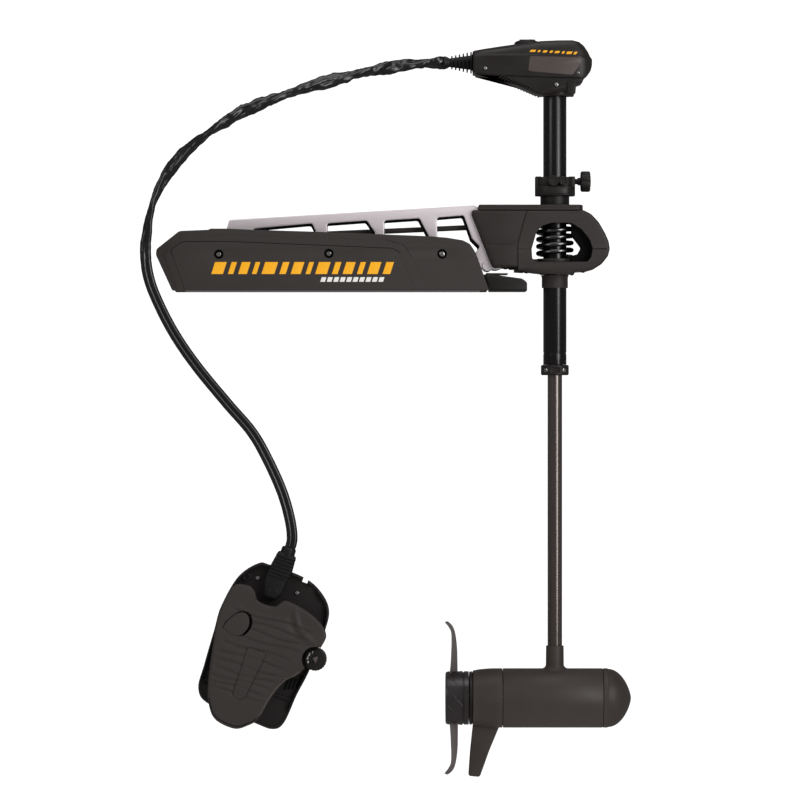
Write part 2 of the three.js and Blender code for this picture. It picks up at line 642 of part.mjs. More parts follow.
function buildPedal() {
  const pedal = new THREE.Group();
  pedal.position.set(...PEDAL_AT);
  pedal.rotation.set(Math.PI / 2, 0, 0);
  const lean = new THREE.Group();
  lean.rotation.set(0, 0, THREE.MathUtils.degToRad(-PEDAL_LEAN));
  pedal.add(lean);
  trollingMotor.add(pedal);

  const baseOutline = smooth([
    [-53, 132], [-32, 136], [25, 135], [60, 123], [86, 98], [92, 61], [89, -11], [82, -59],
    [77, -110], [62, -127], [27, -127], [-54, -122], [-80, -103], [-84, -60], [-87, 0],
    [-89, 42], [-78, 99],
  ], 56);
  const padOutline = smooth([
    [-81, 82], [-57, 93], [-43, 88], [-31, 74], [-3, 74], [12, 89], [40, 87], [70, 78], [93, 62],
    [96, 40], [76, -16], [56, -40], [43, -72], [34, -114], [20, -132], [0, -144], [-34, -140],
    [-53, -120], [-66, -86], [-78, -30], [-87, 30],
  ], 60);
  const floor = flatSlab(baseOutline, PEDAL_BASE_BOTTOM, PEDAL_BASE_TOP);
  const acrossPin = (radius, x0, x1) => {
    const geometry = new THREE.CylinderGeometry(radius, radius, x1 - x0, 16);
    geometry.rotateZ(Math.PI / 2);
    geometry.translate((x0 + x1) / 2, 0, 0);
    return solid(geometry);
  };
  const flatBox = (low, high) => box(low, high);
  const posts = [-1, 1].map((side) => {
    const [x0, x1] = [side * 44, side * 52].sort((a, b) => a - b);
    return join(flatBox([x0, -14, PEDAL_BASE_TOP - 1], [x1, 14, 0]), acrossPin(8, x0, x1));
  });
  const pinRoom = acrossPin(4.4, -60, 60);
  add('pedal_base', cut(join(floor, ...posts), pinRoom), MATERIAL.blackPlastic, lean);
  add('rocker_pin', acrossPin(4, -53, 53), MATERIAL.steel, lean);

  const buttonAt = [-54, 26];
  const pad = flatSlab(padOutline, 9, 17);
  const lugs = [-1, 1].map((side) => {
    const [x0, x1] = [side * 34, side * 42].sort((a, b) => a - b);
    return join(flatBox([x0, -10, 0], [x1, 10, 10]), acrossPin(8, x0, x1));
  });
  const buttonHole = turned(ring(23.5, 0, 0, 30), buttonAt[0], 28, buttonAt[1]);
  const dialAt = [92, 11];
  const dialNotch = turned(ring(22.5, 0, 0, 30), dialAt[0], 28, dialAt[1]);
  const padBody = cut(join(pad, ...lugs), pinRoom, buttonHole, dialNotch);
  add('foot_pad', padBody, MATERIAL.moulding, lean);

  const button = [[0, 12.4], [22.8, 12.4], [22.8, 18], [19, 20.5], [0, 21.5]];
  add('momentary_button', turned(button, buttonAt[0], 28, buttonAt[1]), MATERIAL.blackPlastic, lean);
  const dial = [[0, PEDAL_BASE_TOP + GAP], [20, PEDAL_BASE_TOP + GAP], [20, 4], [18, 6], [0, 6]];
  add('speed_knob', turned(dial, dialAt[0], 24, dialAt[1]), MATERIAL.blackPlastic, lean);

  const clampOutline = [
    [-27, 164.5], [5, 163.5], [7, 135], [4, 116], [2, 94], [-5, 82], [-26, 82], [-34, 108], [-32, 136],
  ];
  const clamp = flatSlab(clampOutline, PEDAL_BASE_TOP + GAP, -7);
  add('cable_clamp', clamp, MATERIAL.rubber, lean);
}

buildMount();
buildArm();
buildLink();
buildBracket();
buildSpring();
buildGuard();
buildTube();
buildHead();
buildShaft();
buildMotor();
buildRotor();
buildCable();
buildPedal();

export default trollingMotor;
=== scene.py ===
# Looks of the bow-mount trolling motor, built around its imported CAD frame. Lengths in the tables
# are millimetres in the CAD frame (+X bow, +Z up, near side -Y) and become metres in each mesh.

import math

import bmesh
import bpy
from mathutils import Matrix, Vector, noise
from mathutils.geometry import tessellate_polygon


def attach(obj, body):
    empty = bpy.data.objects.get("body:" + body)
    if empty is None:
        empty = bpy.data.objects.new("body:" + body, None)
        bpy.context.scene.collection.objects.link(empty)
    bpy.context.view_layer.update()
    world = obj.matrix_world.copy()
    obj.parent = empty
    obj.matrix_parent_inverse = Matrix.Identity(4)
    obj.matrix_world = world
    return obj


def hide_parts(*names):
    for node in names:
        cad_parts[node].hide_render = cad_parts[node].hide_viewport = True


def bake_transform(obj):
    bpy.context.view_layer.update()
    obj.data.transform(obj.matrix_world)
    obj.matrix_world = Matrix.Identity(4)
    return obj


MM = 0.001
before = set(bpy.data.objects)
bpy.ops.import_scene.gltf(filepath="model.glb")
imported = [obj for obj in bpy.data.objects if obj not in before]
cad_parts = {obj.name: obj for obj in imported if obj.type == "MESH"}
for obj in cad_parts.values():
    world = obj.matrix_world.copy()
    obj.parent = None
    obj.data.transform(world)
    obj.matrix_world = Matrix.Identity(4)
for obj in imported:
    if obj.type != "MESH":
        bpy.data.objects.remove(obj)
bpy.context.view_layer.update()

# ---- Camera ---------------------------------------------------------------------------------------

VIEW_CENTRE = (118.7, -186.6)  # x and z that the camera faces
VIEW_WIDTH = 1376.0
VIEW_DISTANCE = 8000.0
SENSOR = 36.0

camera = bpy.data.objects.new("camera", bpy.data.cameras.new("camera"))
bpy.context.scene.collection.objects.link(camera)
camera.location = (VIEW_CENTRE[0] * MM, -VIEW_DISTANCE * MM, VIEW_CENTRE[1] * MM)
camera.rotation_euler = (math.radians(90), 0, 0)
camera.data.sensor_width = SENSOR
camera.data.lens = SENSOR * VIEW_DISTANCE / VIEW_WIDTH
camera.data.clip_end = 60
bpy.context.scene.camera = camera

# ---- Driving dimensions, as in the CAD ------------------------------------------------------------

MOUNT_HALF = 65
PLATE_INSIDE = 56
ARM_PIVOT = (-160, 72)
KNEE_PIVOT = (282, 54)
LINK_PIVOT = (-186, 88)
LINK_END = (262, 108)
SHAFT_X = 385
TUBE_ROOM = 20.3  # radius of every bore round the outer tube
GUARD_HINGE = (337, 39)
GUARD_HALF = 42
PLATE_BOTTOM = 139
PLATE_TOP = 148
KNOB_Z = 189
CABLE_Z = 393.5
DIAL_X = 337
MOTOR_Z = -699
MOTOR_R = 51
HEAD_HALF = 42
CABLE_Y = -100
PEDAL_AT = (-115.5, -120, -606.5)
PEDAL_LEAN = 19
FLOOR_Z = -1000


# ---- Outlines -------------------------------------------------------------------------------------

def arc(centre, radius, start, end, steps):
    turn = [math.radians(start + (end - start) * i / steps) for i in range(steps + 1)]
    return [(centre[0] + radius * math.cos(a), centre[1] + radius * math.sin(a)) for a in turn]


def rounded(points, radius, steps=5, closed=True):
    """The outline with each corner filleted. radius is one number, or one for each corner."""
    count = len(points)
    out = []
    for i, point in enumerate(points):
        size = radius[i] if isinstance(radius, (list, tuple)) else radius
        if not closed and i in (0, count - 1) or size <= 0:
            out.append(tuple(point))
            continue
        p = Vector(point)
        a = Vector(points[i - 1]) - p
        b = Vector(points[(i + 1) % count]) - p
        if a.length < 1e-6 or b.length < 1e-6:
            out.append(tuple(point))
            continue
        half = a.angle(b) / 2
        if half > math.radians(88.5):
            out.append(tuple(point))
            continue
        reach = min(size / math.tan(half), 0.46 * a.length, 0.46 * b.length)
        start = p + a.normalized() * reach
        end = p + b.normalized() * reach
        for k in range(steps + 1):
            t = k / steps
            out.append(tuple(start * (1 - t) ** 2 + p * 2 * t * (1 - t) + end * t * t))
    return out


def spline(points, per_span=6, closed=True):
    """A smooth Catmull-Rom line through points of any dimension."""
    points = [Vector(p) for p in points]
    count = len(points)
    spans = count if closed else count - 1
    out = []
    for i in range(spans):
        if closed:
            p = [points[(i + k - 1) % count] for k in range(4)]
        else:
            p = [points[min(max(i + k - 1, 0), count - 1)] for k in range(4)]
        for k in range(per_span):
            t = k / per_span
            out.append(0.5 * (2 * p[1] + (p[2] - p[0]) * t
                              + (2 * p[0] - 5 * p[1] + 4 * p[2] - p[3]) * t * t
                              + (3 * p[1] - p[0] - 3 * p[2] + p[3]) * t ** 3))
    if not closed:
        out.append(points[-1])
    return [tuple(p) for p in out]


def ellipse(centre, rx, rz, sides=48):
    return [(centre[0] + rx * math.cos(2 * math.pi * i / sides),
             centre[1] + rz * math.sin(2 * math.pi * i / sides)) for i in range(sides)]


def area(points):
    return sum(a[0] * b[1] - b[0] * a[1] for a, b in zip(points, points[1:] + points[:1])) / 2


# ---- Shapes: each is (verts, faces) in millimetres ------------------------------------------------

def merged(*shapes):
    verts, faces = [], []
    for more_verts, more_faces in shapes:
        base = len(verts)
        verts += more_verts
        faces += [tuple(base + i for i in face) for face in more_faces]
    return verts, faces


def moved(shape, matrix):
    return [tuple(matrix @ Vector(v)) for v in shape[0]], shape[1]


def edge_levels(low, high, bevel_low, bevel_high, steps=4):
    """Inset and height of each ring of an extrusion with rounded rims."""
    if not (bevel_low or bevel_high):
        return [(0, low), (0, high)]
    out = []
    for i in range(steps + 1):
        a = math.pi / 2 * i / steps
        out.append((bevel_low * (1 - math.sin(a)), low + bevel_low * (1 - math.cos(a))))
    for i in range(steps + 1):
        a = math.pi / 2 * (1 - i / steps)
        out.append((bevel_high * (1 - math.sin(a)), high - bevel_high * (1 - math.cos(a))))
    return out


def extruded(outline, low, high, bevel=1.0, holes=(), hole_bevel=None, bevel_low=None):
    """An outline with holes, extruded along its normal, with rounded rims."""
    steps = 4 if bevel > 0.6 else 2
    bottom = bevel if bevel_low is None else bevel_low
    verts, faces = [], []
    caps = []
    for number, loop in enumerate([outline, *holes]):
        loop = [tuple(p[:2]) for p in loop]
        if (area(loop) < 0) == (number == 0):
            loop = loop[::-1]
        count = len(loop)
        inward = []
        for i in range(count):
            p = Vector(loop[i])
            before = (p - Vector(loop[i - 1])).normalized()
            after = (Vector(loop[(i + 1) % count]) - p).normalized()
            n = Vector((-before.y, before.x)) + Vector((-after.y, after.x))
            inward.append(n / max(0.35, 1 + before.dot(after)))
        scale = 1 if number == 0 or hole_bevel is None else hole_bevel / max(bevel, 1e-6)
        levels = edge_levels(low, high, bottom, bevel, steps)
        base = len(verts)
        for inset, height in levels:
            for p, n in zip(loop, inward):
                verts.append((p[0] + n.x * inset * scale, p[1] + n.y * inset * scale, height))
        for ring in range(len(levels) - 1):
            for i in range(count):
                a = base + ring * count + i
                b = base + ring * count + (i + 1) % count
                faces.append((a, b, b + count, a + count))
        caps.append((base, base + (len(levels) - 1) * count, count))
    for top in (False, True):
        order = [(c[1] if top else c[0]) + i for c in caps for i in range(c[2])]
        loops = [[Vector(verts[(c[1] if top else c[0]) + i]) for i in range(c[2])] for c in caps]
        for tri in tessellate_polygon(loops):
            faces.append(tuple(order[i] for i in tri))
    return verts, faces


XZ = Matrix(((1, 0, 0, 0), (0, 0, -1, 0), (0, 1, 0, 0), (0, 0, 0, 1)))
TUBE_HOLE = ellipse((SHAFT_X, 0), TUBE_ROOM, TUBE_ROOM, 64)


def upright(outline, y0, y1, bevel=1.0, holes=(), **options):
    """An outline in X and Z extruded from y0 to y1; the near rim is the high one."""
    return moved(extruded(outline, -y1, -y0, bevel, holes, **options), XZ)


def on_side(outline, side, inner, outer, bevel, inner_bevel=0.1):
    """An outline upright on the near (-1) or far (1) side, rounded on its outer rim."""
    if side < 0:
        return upright(outline, -outer, -inner, bevel, bevel_low=inner_bevel)
    return upright(outline, inner, outer, inner_bevel, bevel_low=bevel)


def to_side(side):
    """Keeps a shape made for the near side, or mirrors it to the far side."""
    return Matrix.Identity(4) if side < 0 else Matrix.Scale(-1, 4, (0, 1, 0))


def axis_frame(axis, at):
    """Local +Z becomes the axis, through the point at."""
    turn = Vector((0, 0, 1)).rotation_difference(Vector(axis)).to_matrix().to_4x4()
    return Matrix.Translation(Vector(at)) @ turn


def lathed(profile, axis=(0, 0, 1), at=(0, 0, 0), segments=72, fillet=0.0, steps=3):
    """A profile of (radius, height) turned about the axis through at. Ends at radius 0 close."""
    shut = profile[0] == profile[-1]
    line = profile[:-1] if shut else profile
    if fillet:
        line = rounded(line, fillet, steps, closed=shut)
    verts, faces = [], []
    for r, h in line:
        for i in range(segments):
            a = 2 * math.pi * i / segments
            verts.append((r * math.cos(a), r * math.sin(a), h))
    rows = len(line) if shut else len(line) - 1
    for row in range(rows):
        for i in range(segments):
            j = (i + 1) % segments
            a, b = row * segments, (row + 1) % len(line) * segments
            faces.append((a + i, a + j, b + j, b + i))
    return moved((verts, faces), axis_frame(axis, at))


def along_x(profile, z, segments=72, fillet=0.0):
    """A profile of (radius, x) turned about the line along X at height z."""
    return lathed(profile, (1, 0, 0), (0, 0, z), segments, fillet)


def about_shaft(profile, segments=72, fillet=0.0):
    """A profile of (radius, height) turned about the shaft's axis."""
    return lathed(profile, (0, 0, 1), (SHAFT_X, 0, 0), segments, fillet)


def bands(rows, count):
    """The faces between each ring of count points and the next ring."""
    faces = []
    for k in range(rows - 1):
        for i in range(count):
            j = (i + 1) % count
            faces.append((k * count + i, k * count + j, (k + 1) * count + j, (k + 1) * count + i))
    return faces


def lofted(rings):
    """A closed skin over rings of equally many points."""
    count = len(rings[0])
    verts = [tuple(p) for ring in rings for p in ring]
    faces = bands(len(rings), count)
    faces.append(tuple(range(count)))
    faces.append(tuple(range(len(verts) - count, len(verts))))
    return verts, faces


def swept(path, radius, sides=20, section=None):
    """A tube along a path. section(k, angle) gives the radius there in place of the constant."""
    path = [Vector(p) for p in path]
    side = None
    rings = []
    for k, p in enumerate(path):
        ahead = (path[min(k + 1, len(path) - 1)] - path[max(k - 1, 0)]).normalized()
        if side is None:
            side = ahead.cross(Vector((0, 1, 0))).normalized()
        side = (side - ahead * side.dot(ahead)).normalized()
        up = ahead.cross(side)
        ring = []
        for i in range(sides):
            a = 2 * math.pi * i / sides
            r = section(k, a) if section else radius
            ring.append(p + side * r * math.cos(a) + up * r * math.sin(a))
        rings.append(ring)
    return lofted(rings)


def box(low, high, bevel=0.8):
    outline = [(low[0], low[1]), (high[0], low[1]), (high[0], high[1]), (low[0], high[1])]
    return extruded(rounded(outline, bevel * 1.5, 3) if bevel else outline, low[2], high[2], bevel)


def screw_head(at, radius, axis=(0, -1, 0), height=2.5, socket=True, segments=36):
    """A button-head screw with a hexagonal socket. The head stands up from the point at."""
    verts = []
    profile = [(radius, 0), (radius, height * 0.35), (radius * 0.93, height * 0.7),
               (radius * 0.75, height * 0.95), (radius * 0.55, height)]
    for r, h in profile:
        for i in range(segments):
            a = 2 * math.pi * i / segments
            verts.append((r * math.cos(a), r * math.sin(a), h))
    if socket:
        for h in (height, height * 0.35):
            for i in range(segments):
                a = 2 * math.pi * i / segments
                flat = math.cos(math.pi / 6) / math.cos((a % (math.pi / 3)) - math.pi / 6)
                reach = radius * 0.48 * flat
                verts.append((reach * math.cos(a), reach * math.sin(a), h))
    rows = len(verts) // segments
    faces = bands(rows, segments)
    faces.append(tuple(range(segments))[::-1])
    faces.append(tuple(range((rows - 1) * segments, rows * segments)))
    return moved((verts, faces), axis_frame(axis, at))


# ---- Materials ------------------------------------------------------------------------------------

def srgb(red, green, blue):
    def line(c):
        c /= 255
        return c / 12.92 if c <= 0.04045 else ((c + 0.055) / 1.055) ** 2.4
    return (line(red), line(green), line(blue), 1)


def finish(name, colour, roughness, metallic=0.0, vary=0.12, grain=1400, bump=0.12, depth=0.0002,
           stretch=(1, 1, 1), wear=0.0, smudge=0.08, coat=0.0, coat_roughness=0.1, sheen=0.0,
           specular=0.3):
    """Moulded, cast or drawn surface: fine grain, cloudy tone, smudged gloss and rubbed edges."""
    material = bpy.data.materials.new(name)
    material.use_nodes = True
    tree = material.node_tree
    tree.nodes.clear()
    new = tree.nodes.new
    link = tree.links.new
    out = new("ShaderNodeOutputMaterial")
    shader = new("ShaderNodeBsdfPrincipled")
    link(shader.outputs["BSDF"], out.inputs["Surface"])
    shader.inputs["Metallic"].default_value = metallic
    shader.inputs["Coat Weight"].default_value = coat
    shader.inputs["Coat Roughness"].default_value = coat_roughness
    shader.inputs["Sheen Weight"].default_value = sheen
    shader.inputs["Specular IOR Level"].default_value = specular
    where = new("ShaderNodeTexCoord")
    scale = new("ShaderNodeMapping")
    scale.inputs["Scale"].default_value = stretch
    link(where.outputs["Object"], scale.inputs["Vector"])

    def cloud(size, detail):
        texture = new("ShaderNodeTexNoise")
        texture.inputs["Scale"].default_value = size
        texture.inputs["Detail"].default_value = detail
        link(scale.outputs["Vector"], texture.inputs["Vector"])
        return texture.outputs["Fac"]

    fine = cloud(grain, 6)
    broad = cloud(22, 4)

    def spread(value, low, high, start=0.3, end=0.7):
        node = new("ShaderNodeMapRange")
        node.inputs["From Min"].default_value = start
        node.inputs["From Max"].default_value = end
        node.inputs["To Min"].default_value = low
        node.inputs["To Max"].default_value = high
        link(value, node.inputs["Value"])
        return node.outputs["Result"]

    def mix(factor, first, second):
        node = new("ShaderNodeMix")
        node.data_type = "RGBA"
        link(factor, node.inputs["Factor"])
        for socket, value in (("A", first), ("B", second)):
            target = [s for s in node.inputs if s.name == socket and s.type == "RGBA"][0]
            if isinstance(value, tuple):
                target.default_value = value
            else:
                link(value, target)
        return [s for s in node.outputs if s.type == "RGBA"][0]

    dark = tuple(c * (1 - vary) for c in colour[:3]) + (1,)
    light = tuple(min(1, c * (1 + vary)) for c in colour[:3]) + (1,)
    tone = mix(spread(fine, 0, 1), dark, light)
    tone = mix(spread(broad, 0, 0.35), tone, light)
    if wear:
        edge = new("ShaderNodeNewGeometry").outputs["Pointiness"]
        rub = tuple(min(1, c * 2.2 + 0.03) for c in colour[:3]) + (1,)
        tone = mix(spread(edge, 0, wear, 0.52, 0.6), tone, rub)
    link(tone, shader.inputs["Base Color"])
    link(spread(broad, max(0.03, roughness - smudge), roughness + smudge), shader.inputs["Roughness"])
    relief = new("ShaderNodeBump")
    relief.inputs["Strength"].default_value = bump
    relief.inputs["Distance"].default_value = depth
    link(fine, relief.inputs["Height"])
    link(relief.outputs["Normal"], shader.inputs["Normal"])
    return material


MATERIALS = {
    "channel": (finish("channel_alloy", srgb(150, 150, 152), 0.42, 0.85, stretch=(0.05, 1, 1)),
                "channel_alloy"),
    "moulding": (finish("textured_plastic", srgb(50, 45, 43), 0.62, vary=0.16, grain=900, bump=0.35,
                        wear=0.25), "textured_plastic"),
    "head": (finish("head_plastic", srgb(31, 27, 26), 0.4, vary=0.14, grain=1600, bump=0.12,
                    wear=0.15), "textured_plastic"),
    "panel": (finish("head_panel_plastic", srgb(50, 43, 41), 0.42, vary=0.14, grain=1600, bump=0.15),
              "textured_plastic"),
    # A lighter copy of the head plastic: painted highlight for the side facets.
    "facet": (finish("head_facet_highlight_plastic", srgb(78, 69, 66), 0.34, vary=0.12, grain=1600, bump=0.1),
              "textured_plastic"),
    "black": (finish("black_plastic", srgb(25, 21, 20), 0.45, vary=0.18, grain=1300, bump=0.2,
                     wear=0.2), "black_plastic"),
    "cast": (finish("cast_paint", srgb(41, 36, 34), 0.5, 0.0, vary=0.14, grain=700, bump=0.28,
                    wear=0.25), "cast_paint"),
    "motor": (finish("motor_paint", srgb(54, 47, 44), 0.5, 0.0, vary=0.1, grain=1800, bump=0.08,
                     wear=0.2, specular=0.3), "motor_paint"),
    "tube": (finish("tube_gloss", srgb(17, 15, 16), 0.2, 0.0, vary=0.12, grain=500, bump=0.04,
                    stretch=(1, 1, 0.04), smudge=0.05, specular=0.34), "tube_gloss"),
    "shaft": (finish("shaft_composite", srgb(112, 104, 100), 0.24, 0.9, vary=0.1, grain=500, bump=0.04,
                     stretch=(1, 1, 0.04), smudge=0.05), "tube_gloss"),
    "arm": (finish("arm_alloy", srgb(226, 216, 219), 0.42, 0.25, vary=0.04, grain=900, bump=0.06,
                   stretch=(0.06, 1, 1), smudge=0.06), "arm_alloy"),
    "steel": (finish("steel", srgb(190, 188, 186), 0.26, 1.0, vary=0.08, grain=900, bump=0.08,
                     stretch=(1, 0.1, 1)), "steel"),
    "spring": (finish("spring_steel", srgb(104, 102, 102), 0.2, 1.0, vary=0.1, grain=900, bump=0.05,
                      smudge=0.04), "spring_steel"),
    "brass": (finish("brass", srgb(176, 141, 74), 0.35, 1.0), "brass"),
    "windings": (finish("windings", srgb(156, 90, 54), 0.4, 1.0, stretch=(1, 0.1, 1)), "windings"),
    "magnet": (finish("magnet", srgb(58, 58, 64), 0.6, 0.4), "magnet"),
    "nylon": (finish("nylon", srgb(230, 224, 208), 0.5, bump=0.06), "nylon"),
    "rubber": (finish("rubber", srgb(16, 14, 14), 0.5, vary=0.2, grain=800, bump=0.25),
               "rubber"),
    "prop": (finish("prop_plastic", srgb(38, 33, 34), 0.3, vary=0.16, grain=1500, bump=0.05,
                    specular=0.55), "prop_plastic"),
    # A lighter copy of the propeller plastic: painted light on the blades, which are the same plastic
    # as the hub.
    "blade": (finish("blade_painted_light_plastic", srgb(96, 86, 85), 0.36, vary=0.14, grain=1500, bump=0.05,
                     specular=0.5), "prop_plastic"),
    "sheath": (finish("cable_sheath", srgb(24, 22, 23), 0.27, vary=0.2, grain=260, bump=0.3,
                      depth=0.0006, coat=0.3, coat_roughness=0.15), "cable_sheath"),
    "yellow": (finish("yellow_graphic", srgb(250, 176, 30), 0.42, vary=0.06, bump=0.05),
               "textured_plastic"),
    "white": (finish("white_graphic", srgb(232, 230, 226), 0.42, vary=0.04, bump=0.05),
              "textured_plastic"),
    # Near-black copy of the black plastic: painted shade, used for the dark lines, wells, linings and
    # seams where shade falls.
    "painted_shade": (finish("painted_shade_black", srgb(9, 8, 8), 0.7, vary=0.2, bump=0.2, specular=0.1),
               "black_plastic"),
    # Paler plastic: the speed knob pointer's own grey, and a painted highlight along the foot pad's
    # shoulder ridge.
    "edge": (finish("grey_and_painted_highlight_plastic", srgb(84, 74, 70), 0.5, vary=0.1, bump=0.1),
             "textured_plastic"),
}


# ---- Pieces ---------------------------------------------------------------------------------------

def clean_mesh(name, shape):
    """A mesh in metres from a shape, with its seams joined and its faces outwards."""
    mesh = bpy.data.meshes.new(name)
    mesh.from_pydata([tuple(c * MM for c in v) for v in shape[0]], [], shape[1])
    work = bmesh.new()
    work.from_mesh(mesh)
    bmesh.ops.remove_doubles(work, verts=work.verts, dist=2e-6)
    bmesh.ops.recalc_face_normals(work, faces=work.faces)
    work.to_mesh(mesh)
    work.free()
    return mesh


def piece(name, shape, look, body, *nodes, sharp=38, ride=True):
    """A mesh piece that rides on a body and stands for the CAD nodes named."""
    mesh = clean_mesh(name, shape)
    mesh.shade_smooth()
    mesh.set_sharp_from_angle(angle=math.radians(sharp))
    obj = bpy.data.objects.new(name, mesh)
    bpy.context.scene.collection.objects.link(obj)
    material, slot = MATERIALS[look]
    mesh.materials.append(material)
    if ride:
        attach(obj, body)
    if nodes:
        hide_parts(*nodes)
    return obj


def carve(obj, *shapes, sharp=38):
    """Cuts closed shapes out of a piece and applies the result to its mesh."""
    for shape in shapes:
        tool_mesh = clean_mesh("carving", shape)
        tool = bpy.data.objects.new("carving", tool_mesh)
        bpy.context.scene.collection.objects.link(tool)
        cut = obj.modifiers.new("cut", "BOOLEAN")
        cut.operation = "DIFFERENCE"
        cut.solver = "EXACT"
        cut.object = tool
        bpy.context.view_layer.update()
        seen = obj.evaluated_get(bpy.context.evaluated_depsgraph_get())
        mesh = bpy.data.meshes.new_from_object(seen)
        obj.modifiers.remove(cut)
        obj.data = mesh
        bpy.data.objects.remove(tool)
        bpy.data.meshes.remove(tool_mesh)
    obj.data.shade_smooth()
    obj.data.set_sharp_from_angle(angle=math.radians(sharp))


CABLE_ROUTE = [
    (200.3, 0, CABLE_Z), (170, -1, 392.9), (124, -12, 388.1), (75.2, -28, 379),
    (20.6, -45, 364.9), (-38.8, -62, 346.8), (-95, -75, 327.1), (-155, -87, 300.6),
    (-203.1, -95, 269.5), (-245.4, -99, 235.7), (-278, CABLE_Y, 195.2), (-300.7, CABLE_Y, 147.8),
    (-310.6, CABLE_Y, 101.4), (-313.5, CABLE_Y, 58.9), (-307.6, CABLE_Y, 19.4),
    (-290.8, CABLE_Y, -24.1), (-263.2, CABLE_Y, -76.4), (-225.6, CABLE_Y, -130.7),
    (-174.3, CABLE_Y, -192.9), (-132.8, CABLE_Y, -241.3), (-105.2, CABLE_Y, -289.7),
    (-81.5, CABLE_Y, -343), (-68.1, CABLE_Y, -390.4), (-64.7, CABLE_Y, -424.5),
    (-71.9, CABLE_Y, -446.1),
]


def make_cable():
    """Two push-pull cables in a shrunk, twisted sheath that lies flat and parallel lower down."""
    path = spline(CABLE_ROUTE, 14, closed=False)
    lengths = [0.0]
    for a, b in zip(path, path[1:]):
        lengths.append(lengths[-1] + (Vector(b) - Vector(a)).length)
    total = lengths[-1]

    def section(k, angle):
        at = lengths[k] / total
        twist = 5.0 * math.pi * min(at / 0.55, 1) ** 0.8
        loose = max(0.0, 1 - at / 0.6)
        a = angle + twist
        rod, apart = 4.9, 4.5
        reach = rod * rod - (apart * math.sin(a)) ** 2
        lobes = apart * abs(math.cos(a)) + math.sqrt(reach) if reach > 0 else 3.2
        wrap = 9.3 * 5.9 / math.hypot(5.9 * math.cos(a), 9.3 * math.sin(a))
        blend = 0.25 + 0.45 * min(1, 2 * loose)
        crease = noise.noise(Vector((lengths[k] * 0.055, math.cos(a) * 1.3, math.sin(a) * 1.3)))
        folds = noise.noise(Vector((lengths[k] * 0.2, math.cos(a) * 0.8 + 7, math.sin(a) * 0.8)))
        radius = lobes * (1 - blend) + wrap * blend
        radius *= 1 + 0.24 * min(1, 1.6 * loose)
        radius += min(1, 1.8 * loose) * (3.5 * crease + 1.1 * folds) + 0.15 * folds
        end = min(1, 0.75 + lengths[k] / 60)
        return max(3.0, radius * end)

    cable = piece("steering_cable_pair", swept(path, 0, 36, section), "sheath", "tube",
                  "steering_cable", sharp=70, ride=False)
    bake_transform(cable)


make_cable()

# ---- Deck mount -----------------------------------------------------------------------------------

SIDE_OUTLINE = [
    (-270, 0), (-298, 61), (-297, 71), (-258, 102), (-208, 104), (-205, 106), (-178, 106),
    (-132, 104), (-20, 100.5), (168, 93), (199, 90.5), (226, 86), (238, 80), (246, 68), (252, 54),
    (271, 0),
]
SIDE_FILLETS = [4, 10, 8, 14, 2, 2, 2, 4, 20, 20, 20, 12, 10, 12, 30, 4]
STEP_ONE = [(-262, 1), (-285, 62), (-254, 92), (-174, 94), (96, 86), (125, 78), (139, 57), (166, 1)]
STEP_TWO = [(-248, 1), (-273, 69), (-253, 83), (-174, 83.5), (105, 72), (117, 66), (145, 1)]
SIDE_SCREWS = [(-190.6, 62), (-2.8, 63.3), (190.4, 62.6)]
SCREW_ROOM = 8


def slanted_bar(x, z, wide, tall, lean=0.32):
    foot, top = z - tall / 2, z + tall / 2
    shift = lean * tall / 2
    return [(x - wide / 2 - shift, foot), (x + wide / 2 - shift, foot),
            (x + wide / 2 + shift, top), (x - wide / 2 + shift, top)]


BAR_WIDTHS = [20, 9, 15, 8, 22, 11, 17, 8, 20, 10, 16, 9, 18, 13]
BAR_START = -200.0
BAR_GAP = 8.4
BAR_Z, BAR_HEIGHT = 38.5, 20.5
DASH_START, DASH_PITCH, DASH_COUNT = -12, 11, 10
DASH_Z, DASH_SIZE = 19, 8


def make_graphics(side, face):
    """A plain pattern of slanted bars and dashes printed on a side plate."""
    near, far = sorted((side * face, side * (face + 0.3)))
    name = "near" if side < 0 else "far"
    bars = []
    x = BAR_START
    for wide in BAR_WIDTHS:
        bars.append(upright(slanted_bar(x + wide / 2, BAR_Z, wide, BAR_HEIGHT), near, far, 0.1))
        x += wide + BAR_GAP
    piece("side_bars_" + name, merged(*bars), "yellow", "mount")
    dashes = [upright(slanted_bar(DASH_START + k * DASH_PITCH, DASH_Z, DASH_SIZE, DASH_SIZE),
                      near, far, 0.1) for k in range(DASH_COUNT)]
    piece("side_dashes_" + name, merged(*dashes), "white", "mount")


